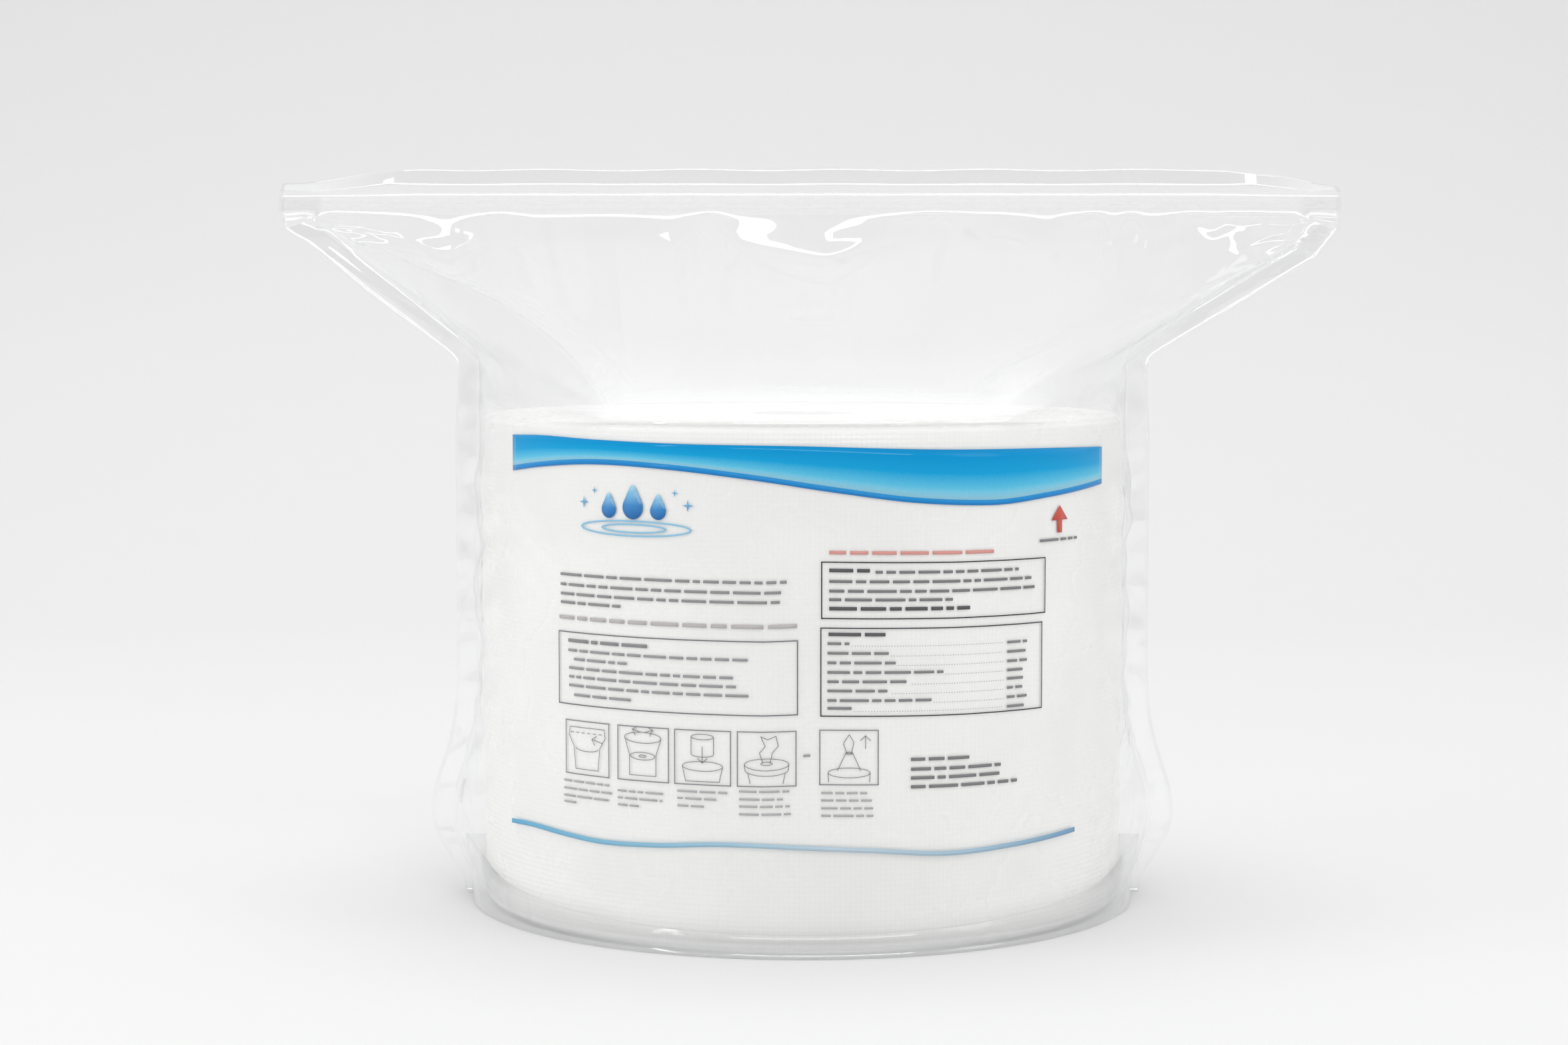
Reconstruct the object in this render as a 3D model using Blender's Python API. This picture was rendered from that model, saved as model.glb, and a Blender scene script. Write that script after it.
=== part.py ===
"""A wet wipes pack: a clear press-to-close pouch that holds one roll of wipes.

Units are metres and +Z is up. The floor is z = 0, the roll's axis is the Z axis,
and the printed front faces -Y. Front and back film are sealed along both sides,
the film floor is sealed inside them on a curved line, and the top is sealed
above the zip.
"""

import math
from typing import Callable, NamedTuple

import bmesh
import bpy

Point = tuple[float, float, float]

# The roll of wipes
ROLL_DIAMETER = 0.203
ROLL_HEIGHT = 0.1545
ROLL_EDGE_RADIUS = 0.005
BORE_DIAMETER = 0.032
BORE_EDGE = 0.002
TURN_PITCH = 0.010
TURN_RELIEF = 0.0008

# The film and how close its layers lie
FILM = 0.00015
GAP = 0.0003
FILM_OFF_ROLL = 0.0008
SEAL_WIDTH = 0.008
SEAM_STANDOFF = 0.0007

# The foot of the pouch, which spreads where it stands
FOOT_FLARE = 0.0032
FOOT_FLARE_HEIGHT = 0.040
FOOT_BULGE = 0.0085
FOOT_BULGE_LEVEL = 0.027
FOOT_BULGE_SPREAD = 0.022
GUSSET_SEAL_FRONT = 0.0067
GUSSET_SEAL_SIDE = 0.019
GUSSET_CURVE = 2.2
GUSSET_FOLD = 0.0008
GUSSET_INSET = 0.0016
GUSSET_OFF_ROLL = 0.0005

# The shoulder, the zip and the header
HEADSPACE = 0.0630
RIM_ANGLE = math.radians(35)
RIM_ROLLOVER = 0.0014
RIDGE_PLAN_POWER = 1.3
RIDGE_CROWN_POWER = 6
LIP_DROP = 0.0082
LIP_DROP_AT_SEAL = 0.002
LIP_WAVE = 0.0048
LIP_FORWARD = 0.0035
LIP_SLOW_WAVE = 0.071
LIP_FAST_WAVE = 0.043
SEAL_EASE = 0.010
HEADER_HEIGHT = 0.0079
NOTCH_HEIGHT = 0.0040
NOTCH_DEPTH = 0.004
TOP_SHIFT = 0.0025
KINK_DROOP = math.radians(30)
RIDGE_DROOP = math.radians(38)
LIP_DROOP = math.radians(18)

# The slack film beside the side seals
PUCKER_HEIGHT = 0.0014
PUCKER_PITCH = 0.034
PUCKER_SLANT = 0.00018
PUCKER_FROM_PRINT = 0.005
PUCKER_EASE = 0.016

# The zip: two strips whose rib and groove hook into each other
ZIP_FLANGE_HEIGHT = 0.0072
ZIP_FLANGE = 0.0003
ZIP_DEPTH = 0.0024
ZIP_END_GAP = 0.0015
RIB_STEM = 0.0005
RIB_HEAD = 0.0015
RIB_NECK_DEPTH = 0.0001
RIB_NOSE_GAP = 0.0005
GROOVE_LIP = 0.0005
GROOVE_GAP = 0.00035
GROOVE_MOUTH_DEPTH = 0.0006

# The print on the front
INK = 0.00012
PRINT_HALF_WIDTH = 0.107
BAND_BELOW_RIM = 0.0023
BAND_MIDDLE_BELOW_RIM = 0.0139
BAND_WAVE = 0.0059
BAND_CREST = -0.060
BAND_WAVE_LENGTH = 0.244
BAND_EDGE_WIDTH = 0.0016
LINE_BELOW_RIM = 0.1188
LINE_WAVE = 0.0013
LINE_CREST = -0.020
LINE_WAVE_LENGTH = 0.132
LINE_WIDTH = 0.0014
ARROW_FROM_EDGE = 0.0203
ARROW_BELOW_RIM = 0.0202
ARROW_HEAD = (0.0080, 0.0044)
ARROW_STEM = (0.0022, 0.0038)
FRAME_LINE = 0.0004
PICTURE_LINE = 0.0003

# Where each text block and picture lies on the film: its left and right along the
# film from the middle, its lower and upper edge below the roll's rim
TEXT_FRAMES = {
    "left_text_frame_print": (-0.0815, -0.0020, 0.0797, 0.0581),
    "upper_text_frame_print": (0.0050, 0.0798, 0.0520, 0.0356),
    "lower_text_frame_print": (0.0048, 0.0785, 0.0805, 0.0548),
}
FRAME_STEP = 0.008
PICTURE_SIZE = (0.0172, 0.0160)
PICTURE_BELOW_RIM = 0.1006
PICTURE_LEFTS = (-0.0785, -0.0580, -0.0388, -0.0196, 0.0045)

# How finely the curved sheets are cut
FILM_COLUMNS = 36
ROLL_SEGMENTS = 40
PRINT_COLUMNS = 26

ROLL_RADIUS = ROLL_DIAMETER / 2
BORE_RADIUS = BORE_DIAMETER / 2
ROLL_BOTTOM = FILM + GAP
ROLL_TOP = ROLL_BOTTOM + ROLL_HEIGHT
FILM_RADIUS = ROLL_RADIUS + FILM_OFF_ROLL
SEAM_HALF_GAP = (GAP + FILM) / 2
RIM_LEVEL = ROLL_TOP - ROLL_EDGE_RADIUS
ZIP_HALF_DEPTH = ZIP_DEPTH / 2 + ZIP_FLANGE + GAP + FILM / 2
ZIP_BOTTOM = ROLL_TOP + HEADSPACE
ZIP_TOP = ZIP_BOTTOM + ZIP_FLANGE_HEIGHT
POUCH_TOP = ZIP_TOP + HEADER_HEIGHT


class Ear(NamedTuple):
    """One top corner of the pouch, where the film runs from round to flat."""

    kink_rise: float
    tip_in: float
    tip_drop: float
    crown: float
    sag: float


LEFT_EAR = Ear(kink_rise=0.0254, tip_in=0.0060, tip_drop=0.0040, crown=0.020, sag=0.0)
RIGHT_EAR = Ear(kink_rise=0.0259, tip_in=0.0060, tip_drop=0.0090, crown=0.010, sag=0.004)


class Finish(NamedTuple):
    """A plain surface finish: colour, roughness and how much light it stops."""

    color: tuple[float, float, float]
    roughness: float
    alpha: float


CLEAR_FILM = Finish((0.90, 0.92, 0.93), 0.12, 0.35)
ZIP_PLASTIC = Finish((0.92, 0.94, 0.95), 0.25, 0.60)
NONWOVEN = Finish((0.88, 0.88, 0.86), 0.90, 1.00)
BLUE_INK = Finish((0.10, 0.46, 0.72), 0.35, 1.00)
DEEP_BLUE_INK = Finish((0.01, 0.22, 0.60), 0.35, 1.00)
RED_INK = Finish((0.62, 0.10, 0.07), 0.35, 1.00)
GREY_INK = Finish((0.10, 0.10, 0.11), 0.40, 1.00)


def smooth_step(share: float) -> float:
    """Ease from 0 to 1 with level ends."""
    share = min(max(share, 0.0), 1.0)
    return share * share * (3 - 2 * share)


def mix(start: Point, end: Point, share: float) -> Point:
    """Give the point at a share of the way between two points."""
    return tuple(a + (b - a) * share for a, b in zip(start, end))


def film_radius(z: float) -> float:
    """Give the radius of the film round the roll, which spreads at the foot."""
    return FILM_RADIUS + FOOT_FLARE * (1 - smooth_step(z / FOOT_FLARE_HEIGHT))


def seam_reach(z: float) -> float:
    """Give how far from the axis the two films meet at the side seals."""
    swell = FOOT_BULGE * math.exp(-(((z - FOOT_BULGE_LEVEL) / FOOT_BULGE_SPREAD) ** 2))
    return max(FILM_RADIUS + swell, film_radius(z)) + SEAM_STANDOFF


def outline(run: float, radius: float, tip_angle: float) -> tuple[float, float]:
    """Give the point this far along the front half of the film's outline.

    The outline hugs a round of this radius and leaves it in two straight runs that
    meet in a point at each side. The run is measured from the middle of the front.
    """
    arc = radius * (math.pi / 2 - tip_angle)
    if abs(run) <= arc:
        return radius * math.sin(run / radius), -radius * math.cos(run / radius)
    past = abs(run) - arc
    x = radius * math.cos(tip_angle) + past * math.sin(tip_angle)
    y = radius * math.sin(tip_angle) - past * math.cos(tip_angle)
    return math.copysign(x, run), -y


def teardrop(share: float, radius: float, tip_angle: float) -> tuple[float, float]:
    """Give the outline's point at a share of the way from its middle to a side point."""
    length = radius * (math.pi / 2 - tip_angle + math.tan(tip_angle))
    return outline(share * length, radius, tip_angle)


def tip_angle_at(z: float) -> float:
    """Give the angle at which the films leave the round at this level."""
    return math.acos(film_radius(z) / seam_reach(z))


FREE_HALF_WIDTH = FILM_RADIUS * (
    math.pi / 2 - tip_angle_at(RIM_LEVEL) + math.tan(tip_angle_at(RIM_LEVEL))
)
HALF_WIDTH = FREE_HALF_WIDTH + SEAL_WIDTH
RIM_SHARE = FILM_RADIUS * RIM_ANGLE / FREE_HALF_WIDTH


def from_seal(share: float) -> float:
    """Ease from 0 at a side seal to 1 where the film is free of it."""
    return smooth_step((1 - abs(share)) * FREE_HALF_WIDTH / SEAL_EASE)


def pucker(share: float, z: float) -> float:
    """Give how far the slack film stands off the roll beside the side seals."""
    along = abs(share) * FREE_HALF_WIDTH
    start = PRINT_HALF_WIDTH + PUCKER_FROM_PRINT
    across = smooth_step((along - start) / PUCKER_EASE) * from_seal(share)
    upward = smooth_step(z / FOOT_FLARE_HEIGHT) * smooth_step((ROLL_TOP - z) / ROLL_EDGE_RADIUS)
    slant = share * FREE_HALF_WIDTH * PUCKER_SLANT / PUCKER_HEIGHT
    wave = 0.5 + 0.5 * math.sin(2 * math.pi * (z + slant) / PUCKER_PITCH)
    return PUCKER_HEIGHT * across * upward * wave


def body_point(share: float, z: float) -> Point:
    """Give a point of the film that stands round the roll."""
    radius = film_radius(z) + pucker(share, z)
    x, y = teardrop(share, radius, tip_angle_at(z))
    return x, min(y, -SEAM_HALF_GAP), z


def ear_share(share: float) -> float:
    """Give how far out on an ear this column lies, from 0 at the rim to 1."""
    return max(abs(share) - RIM_SHARE, 0.0) / (1 - RIM_SHARE)


def ear_of(share: float) -> Ear:
    """Give the ear of this side."""
    return LEFT_EAR if share < 0 else RIGHT_EAR


def rim_point(share: float) -> Point:
    """Give the point where the film turns over the roll's top edge."""
    angle = share * FREE_HALF_WIDTH / FILM_RADIUS
    radius = FILM_RADIUS - RIM_ROLLOVER
    return radius * math.sin(angle), -radius * math.cos(angle), ROLL_TOP + RIM_ROLLOVER


def kink_point(share: float) -> Point:
    """Give the fold line where an ear starts to lean out from the upright side."""
    foot = body_point(share, RIM_LEVEL)
    rim_height = (ROLL_TOP + RIM_ROLLOVER - RIM_LEVEL) / 2
    rise = rim_height + (ear_of(share).kink_rise - rim_height) * ear_share(share)
    return foot[0], foot[1], RIM_LEVEL + rise


def ridge_point(share: float) -> Point:
    """Give the crease between the sloping front and the rim or the ear."""
    out = ear_share(share)
    if out == 0:
        return rim_point(share)
    ear = ear_of(share)
    start = rim_point(math.copysign(RIM_SHARE, share))
    end_x = math.copysign(FREE_HALF_WIDTH - ear.tip_in, share) + TOP_SHIFT
    end_z = ZIP_BOTTOM - ear.tip_drop
    climb = end_z - start[2] - ear.crown
    x = start[0] + (end_x - start[0]) * out
    y = start[1] * (1 - out) ** RIDGE_PLAN_POWER
    z = start[2] + climb * out + ear.crown * (1 - (1 - out) ** RIDGE_CROWN_POWER)
    return x, min(y, -SEAM_HALF_GAP), z - ear.sag * math.sin(math.pi * out)


def lip_wave(share: float, side: float) -> float:
    """Give the wave of the slack film under the zip, from -1 to 1."""
    along = share * FREE_HALF_WIDTH
    slow = math.cos(2 * math.pi * along / LIP_SLOW_WAVE + 2.6 * side)
    fast = math.cos(2 * math.pi * along / LIP_FAST_WAVE - 1.7)
    return 0.6 * slow + 0.4 * fast


def lip_point(share: float, side: float) -> Point:
    """Give the wavy bend where the slope meets the upright film under the zip."""
    free = from_seal(share)
    wave = lip_wave(share, side) * free
    y = -SEAM_HALF_GAP - free * (ZIP_HALF_DEPTH + LIP_FORWARD * (0.6 + 0.4 * wave))
    drop = LIP_DROP_AT_SEAL + free * (LIP_DROP - LIP_DROP_AT_SEAL - LIP_WAVE * wave)
    return share * FREE_HALF_WIDTH + TOP_SHIFT, y, ZIP_BOTTOM - drop


def straight_point(share: float, depth: float, z: float) -> Point:
    """Give a point of the flat film from the zip's lower edge upward."""
    return share * FREE_HALF_WIDTH + TOP_SHIFT, -depth, z


def seal_edge(seam: Point, side: float, droop: float, width: float) -> Point:
    """Give the outer edge of the side seal beside a point of the seam."""
    x = seam[0] + side * width * math.cos(droop)
    return x, seam[1], seam[2] - width * math.sin(droop)


class Row(NamedTuple):
    """One level line of a panel: its points, its seal's droop and its seal's width."""

    at: Callable[[float], Point]
    droop: float = 0.0
    seal: float = SEAL_WIDTH


def between(low: Row, high: Row, share: float) -> Row:
    """Give the row at a share of the way between two rows."""

    def at(column: float) -> Point:
        return mix(low.at(column), high.at(column), share)

    return Row(at, low.droop + (high.droop - low.droop) * share, SEAL_WIDTH)


def panel_rows(body_levels: list[float], slope_steps: int, side: float) -> list[Row]:
    """List the rows of a panel from the floor to the top of the header."""
    rows = [Row(lambda c, z=z: body_point(c, z)) for z in body_levels]
    kink = Row(kink_point, KINK_DROOP)
    ridge = Row(ridge_point, RIDGE_DROOP)
    lip = Row(lambda c: lip_point(c, side), LIP_DROOP)
    rows += [between(rows[-1], kink, 0.5), kink, between(kink, ridge, 0.5), ridge]
    rows += [between(ridge, lip, step / slope_steps) for step in range(1, slope_steps)]
    rows += [lip]
    notch = ZIP_TOP + NOTCH_HEIGHT
    levels = (
        (ZIP_BOTTOM, ZIP_HALF_DEPTH, SEAL_WIDTH),
        (ZIP_TOP, ZIP_HALF_DEPTH, SEAL_WIDTH),
        (notch - NOTCH_HEIGHT / 2, SEAM_HALF_GAP, SEAL_WIDTH),
        (notch, SEAM_HALF_GAP, SEAL_WIDTH - NOTCH_DEPTH),
        (notch + NOTCH_HEIGHT / 2, SEAM_HALF_GAP, SEAL_WIDTH),
        (POUCH_TOP, SEAM_HALF_GAP, SEAL_WIDTH),
    )
    for z, depth, seal in levels:
        rows.append(Row(lambda c, z=z, depth=depth: straight_point(c, depth, z), 0.0, seal))
    return rows


def body_levels(count: int) -> list[float]:
    """List the levels of the rows round the roll, closer together at the foot."""
    low = FILM / 2
    flare = [low + (FOOT_FLARE_HEIGHT - low) * step / 4 for step in range(4)]
    rise = RIM_LEVEL - FOOT_FLARE_HEIGHT
    return flare + [FOOT_FLARE_HEIGHT + rise * step / count for step in range(count + 1)]


def grid_faces(mesh: bmesh.types.BMesh, rows: list[list[bmesh.types.BMVert]]) -> None:
    """Join neighbouring rows of vertices with four-sided faces."""
    for low, high in zip(rows, rows[1:]):
        for left in range(len(low) - 1):
            mesh.faces.new((low[left], low[left + 1], high[left + 1], high[left]))


def finish_object(name: str, mesh: bmesh.types.BMesh, finish: Finish) -> bpy.types.Object:
    """Turn a bmesh into a smooth shaded object with its own material."""
    data = bpy.data.meshes.new(name)
    mesh.to_mesh(data)
    mesh.free()
    part = bpy.data.objects.new(name, data)
    bpy.context.scene.collection.objects.link(part)
    material = bpy.data.materials.new(name)
    material.use_nodes = True
    shader = material.node_tree.nodes["Principled BSDF"]
    shader.inputs["Base Color"].default_value = (*finish.color, 1.0)
    shader.inputs["Roughness"].default_value = finish.roughness
    shader.inputs["Metallic"].default_value = 0.0
    shader.inputs["Alpha"].default_value = finish.alpha
    data.materials.append(material)
    data.shade_smooth()
    data.set_sharp_from_angle(angle=math.radians(40))
    return part


def thicken(part: bpy.types.Object, thickness: float) -> None:
    """Give a sheet its thickness, half to each side."""
    wall = part.modifiers.new("Film", "SOLIDIFY")
    wall.thickness = thickness
    wall.offset = 0.0
    wall.use_even_offset = False


def build_panel(name: str, columns: int, rows: list[Row], side: float) -> None:
    """Build one side of the pouch as a single folded sheet with its side seals."""
    mesh = bmesh.new()
    shares = [-1 + 2 * column / columns for column in range(columns + 1)]
    grid = []
    for row in rows:
        line = [row.at(share) for share in shares]
        left = seal_edge(line[0], -1, row.droop, row.seal)
        right = seal_edge(line[-1], 1, row.droop, row.seal)
        points = [left, *line, right]
        grid.append([mesh.verts.new((x, y * side, z)) for x, y, z in points])
    grid_faces(mesh, grid)
    if side < 0:
        bmesh.ops.reverse_faces(mesh, faces=mesh.faces[:])
    thicken(finish_object(name, mesh, CLEAR_FILM), FILM)


def seal_height(share: float) -> float:
    """Give the height of the curved seal between the panels and the film floor."""
    return GUSSET_SEAL_FRONT + (GUSSET_SEAL_SIDE - GUSSET_SEAL_FRONT) * abs(share) ** GUSSET_CURVE


def gusset_ring(share: float) -> list[Point]:
    """Give one section of the film floor, from its sealed edge in to its middle.

    The sheet starts at the panels' bottom edge, climbs inside them to the curved
    seal, folds over and comes down beside the roll to lie flat under it.
    """
    top = seal_height(share)
    fold_radius = film_radius(top) - GUSSET_INSET
    beside_roll = ROLL_RADIUS + FILM / 2 + GUSSET_OFF_ROLL
    corner = min(ROLL_BOTTOM + ROLL_EDGE_RADIUS + FILM, top - GUSSET_FOLD)
    under = ROLL_RADIUS - ROLL_EDGE_RADIUS / 3
    section = [
        (film_radius(0) - GUSSET_INSET, FILM / 2),
        (fold_radius, top - FILM),
        (fold_radius - GUSSET_FOLD / 2, top + FILM),
        (fold_radius - GUSSET_FOLD, top - FILM),
        (beside_roll, corner),
        (under, FILM / 2),
        (under / 2, FILM / 2),
    ]
    points = []
    for radius, z in section:
        x, y = teardrop(share, radius, tip_angle_at(z))
        points.append((x, y, z))
    return points


def build_gusset(columns: int) -> None:
    """Build the film floor of the pouch, folded up inside the panels."""
    mesh = bmesh.new()
    shares = [-1 + 2 * column / columns for column in range(columns + 1)]
    front = [gusset_ring(share) for share in shares]
    back = [[(x, -y, z) for x, y, z in ring] for ring in reversed(front[1:-1])]
    sections = [[mesh.verts.new(point) for point in ring] for ring in front + back]
    grid_faces(mesh, sections + sections[:1])
    centre = mesh.verts.new((0, 0, FILM / 2))
    for one, other in zip(sections, sections[1:] + sections[:1]):
        mesh.faces.new((one[-1], centre, other[-1]))
    bmesh.ops.recalc_face_normals(mesh, faces=mesh.faces[:])
    thicken(finish_object("bottom_gusset", mesh, CLEAR_FILM), FILM)


def turn_rings(segment: int) -> list[tuple[float, float]]:
    """Give radius and depth of the wound turns along one ray of an end face.

    Crests and valleys alternate at half the pitch, and each ray is shifted so that
    the ridges run on as one spiral.
    """
    low = BORE_RADIUS + BORE_EDGE
    high = ROLL_RADIUS - ROLL_EDGE_RADIUS
    step = TURN_PITCH / 2
    shift = TURN_PITCH * segment / ROLL_SEGMENTS
    count = int((high - low) / step) + 5
    rings = []
    for index in range(count):
        radius = low + (index - 2) * step + shift
        depth = TURN_RELIEF if index % 2 else 0.0
        if radius < low + 0.3 * step:
            radius, depth = low, 0.0
        if radius > high - 0.3 * step:
            radius, depth = high, 0.0
        rings.append((radius, depth))
    return rings


def rounded_edge(steps: int) -> list[tuple[float, float]]:
    """Give radius and depth of the roll's rounded outer edge."""
    points = []
    for step in range(1, steps + 1):
        angle = math.pi / 2 * step / steps
        inward = ROLL_EDGE_RADIUS * (1 - math.sin(angle))
        points.append((ROLL_RADIUS - inward, ROLL_EDGE_RADIUS * (1 - math.cos(angle))))
    return points


def build_roll() -> None:
    """Build the wound roll with its centre hole and the spiral of its turns."""
    mesh = bmesh.new()
    rays = []
    for segment in range(ROLL_SEGMENTS + 1):
        angle = 2 * math.pi * segment / ROLL_SEGMENTS
        section = [(BORE_RADIUS, BORE_EDGE), *turn_rings(segment), *rounded_edge(3)]
        upper = [(radius, ROLL_TOP - depth) for radius, depth in section]
        lower = [(radius, ROLL_BOTTOM + depth) for radius, depth in reversed(section)]
        loop = upper + lower + upper[:1]
        rays.append([
            mesh.verts.new((radius * math.cos(angle), radius * math.sin(angle), z))
            for radius, z in loop
        ])
    grid_faces(mesh, rays)
    bmesh.ops.remove_doubles(mesh, verts=mesh.verts[:], dist=1e-6)
    bmesh.ops.recalc_face_normals(mesh, faces=mesh.faces[:])
    finish_object("wipes_roll", mesh, NONWOVEN)


def zip_rib_profile() -> list[tuple[float, float]]:
    """Give the section of the rib strip as depth and height from the zip's middle."""
    flange = -ZIP_DEPTH / 2
    outer = flange - ZIP_FLANGE
    half = ZIP_FLANGE_HEIGHT / 2
    stem, head = RIB_STEM / 2, RIB_HEAD / 2
    neck, nose = RIB_NECK_DEPTH, ZIP_DEPTH / 2 - RIB_NOSE_GAP
    upper = [(outer, half), (flange, half), (flange, stem), (neck, stem), (neck, head), (nose, stem)]
    return upper + [(depth, -height) for depth, height in reversed(upper)]


def zip_groove_profile() -> list[tuple[float, float]]:
    """Give the section of the groove strip, whose two lips hold the rib's head."""
    flange = ZIP_DEPTH / 2
    outer = flange + ZIP_FLANGE
    half = ZIP_FLANGE_HEIGHT / 2
    lip_in = RIB_HEAD / 2 + GROOVE_GAP
    lip_out = lip_in + GROOVE_LIP
    hook = RIB_STEM / 2 + GROOVE_GAP
    front = GROOVE_MOUTH_DEPTH - ZIP_DEPTH / 2
    catch = RIB_NECK_DEPTH - GROOVE_GAP
    upper = [
        (outer, half), (flange, half), (flange, lip_out), (front, lip_out),
        (front, hook), (catch, hook), (catch, lip_in), (flange, lip_in),
    ]
    return upper + [(depth, -height) for depth, height in reversed(upper)]


def build_strip(name: str, profile: list[tuple[float, float]]) -> None:
    """Build one half of the zip by running its section along the pouch's width."""
    mesh = bmesh.new()
    middle = (ZIP_BOTTOM + ZIP_TOP) / 2
    length = HALF_WIDTH - ZIP_END_GAP
    start = [mesh.verts.new((TOP_SHIFT - length, y, middle + z)) for y, z in profile]
    section = mesh.faces.new(start)
    moved = bmesh.ops.extrude_face_region(mesh, geom=[section])["geom"]
    ends = [item for item in moved if isinstance(item, bmesh.types.BMVert)]
    bmesh.ops.translate(mesh, verts=ends, vec=(2 * length, 0, 0))
    bmesh.ops.recalc_face_normals(mesh, faces=mesh.faces[:])
    finish_object(name, mesh, ZIP_PLASTIC)


def on_film(along: float, z: float) -> Point:
    """Give the place of the ink at this distance along the film and this height."""
    radius, tip_angle = film_radius(z), tip_angle_at(z)
    x, y = outline(along, radius, tip_angle)
    turn = math.copysign(min(abs(along) / radius, math.pi / 2 - tip_angle), along)
    lift = FILM / 2 + GAP + INK / 2
    return x + lift * math.sin(turn), y - lift * math.cos(turn), z


def build_ribbon(name: str, low: Callable, high: Callable, steps: int, finish: Finish) -> None:
    """Build a printed band between two curves, across the width of the print."""
    mesh = bmesh.new()
    alongs = [PRINT_HALF_WIDTH * (2 * i / PRINT_COLUMNS - 1) for i in range(PRINT_COLUMNS + 1)]
    rows = []
    for step in range(steps + 1):
        share = step / steps
        levels = [low(along) + (high(along) - low(along)) * share for along in alongs]
        rows.append([mesh.verts.new(on_film(a, z)) for a, z in zip(alongs, levels)])
    grid_faces(mesh, rows)
    thicken(finish_object(name, mesh, finish), INK)


def build_frame(name: str, box: tuple[float, float, float, float], line: float) -> None:
    """Build a printed frame: a closed line round a block of the print."""
    left, right, low, high = box
    bottom, top = RIM_LEVEL - low, RIM_LEVEL - high
    across = max(2, round((right - left) / FRAME_STEP))
    corners = [(left, bottom, across), (right, bottom, 1), (right, top, across), (left, top, 1)]
    inward = [(line, line), (-line, line), (-line, -line), (line, -line)]
    mesh = bmesh.new()
    outer, inner = [], []
    for index, (along, z, steps) in enumerate(corners):
        next_along, next_z, _ = corners[(index + 1) % 4]
        offset, next_offset = inward[index], inward[(index + 1) % 4]
        for step in range(steps):
            share = step / steps
            a = along + (next_along - along) * share
            h = z + (next_z - z) * share
            shift = [p + (q - p) * share for p, q in zip(offset, next_offset)]
            outer.append(mesh.verts.new(on_film(a, h)))
            inner.append(mesh.verts.new(on_film(a + shift[0], h + shift[1])))
    grid_faces(mesh, [outer + outer[:1], inner + inner[:1]])
    thicken(finish_object(name, mesh, GREY_INK), INK)


def build_arrow() -> None:
    """Build the printed arrow that points up."""
    head_width, head_height = ARROW_HEAD
    stem_width, stem_height = ARROW_STEM
    point = RIM_LEVEL - ARROW_BELOW_RIM
    base = point - head_height
    foot = base - stem_height
    half, stem = head_width / 2, stem_width / 2
    middle = PRINT_HALF_WIDTH - ARROW_FROM_EDGE
    mesh = bmesh.new()

    def spot(along: float, z: float) -> bmesh.types.BMVert:
        return mesh.verts.new(on_film(middle + along, z))

    tip, left, right = spot(0, point), spot(-half, base), spot(half, base)
    top_left, top_right = spot(-stem, base), spot(stem, base)
    foot_left, foot_right = spot(-stem, foot), spot(stem, foot)
    mesh.faces.new((left, top_left, tip))
    mesh.faces.new((top_left, top_right, tip))
    mesh.faces.new((top_right, right, tip))
    mesh.faces.new((foot_left, foot_right, top_right, top_left))
    thicken(finish_object("up_arrow_print", mesh, RED_INK), INK)


def band_low(along: float) -> float:
    """Give the lower edge of the blue band."""
    wave = math.cos(2 * math.pi * (along - BAND_CREST) / BAND_WAVE_LENGTH)
    return RIM_LEVEL - BAND_MIDDLE_BELOW_RIM + BAND_WAVE * wave


def line_middle(along: float) -> float:
    """Give the middle of the thin blue line near the foot."""
    wave = math.cos(2 * math.pi * (along - LINE_CREST) / LINE_WAVE_LENGTH)
    return RIM_LEVEL - LINE_BELOW_RIM + LINE_WAVE * wave


def build_print() -> None:
    """Build every field and frame of the print on the front film."""
    edge_top = BAND_EDGE_WIDTH + GAP
    band_top = RIM_LEVEL - BAND_BELOW_RIM
    build_ribbon("blue_band_print", lambda a: band_low(a) + edge_top, lambda a: band_top, 2, BLUE_INK)
    build_ribbon(
        "blue_band_edge_print", band_low, lambda a: band_low(a) + BAND_EDGE_WIDTH, 1, DEEP_BLUE_INK
    )
    build_ribbon(
        "blue_wave_print",
        lambda a: line_middle(a) - LINE_WIDTH / 2,
        lambda a: line_middle(a) + LINE_WIDTH / 2,
        1,
        BLUE_INK,
    )
    build_arrow()
    for name, box in TEXT_FRAMES.items():
        build_frame(name, box, FRAME_LINE)
    width, height = PICTURE_SIZE
    for number, left in enumerate(PICTURE_LEFTS, start=1):
        box = (left, left + width, PICTURE_BELOW_RIM, PICTURE_BELOW_RIM - height)
        build_frame(f"picture_frame_{number}_print", box, PICTURE_LINE)


def build() -> None:
    """Build the whole pack in an empty scene."""
    for old in list(bpy.data.objects):
        bpy.data.objects.remove(old)
    build_roll()
    build_panel("front_panel", FILM_COLUMNS, panel_rows(body_levels(6), 4, 1), 1)
    build_panel("back_panel", FILM_COLUMNS, panel_rows(body_levels(3), 3, -1), -1)
    build_gusset(FILM_COLUMNS)
    build_strip("zip_rib_strip", zip_rib_profile())
    build_strip("zip_groove_strip", zip_groove_profile())
    build_print()


build()
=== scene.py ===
"""Dresses a wet wipes pack: one roll of wipes in a clear, printed, press-to-close pouch.

Units are metres and +Z is up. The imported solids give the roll's, the zip's and the pouch's
places. The film is drawn again as fine sheets with their folds, and the print lies on it.
"""

import logging
import math
import random
from dataclasses import dataclass
from enum import Enum
from typing import Callable, Sequence

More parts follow.
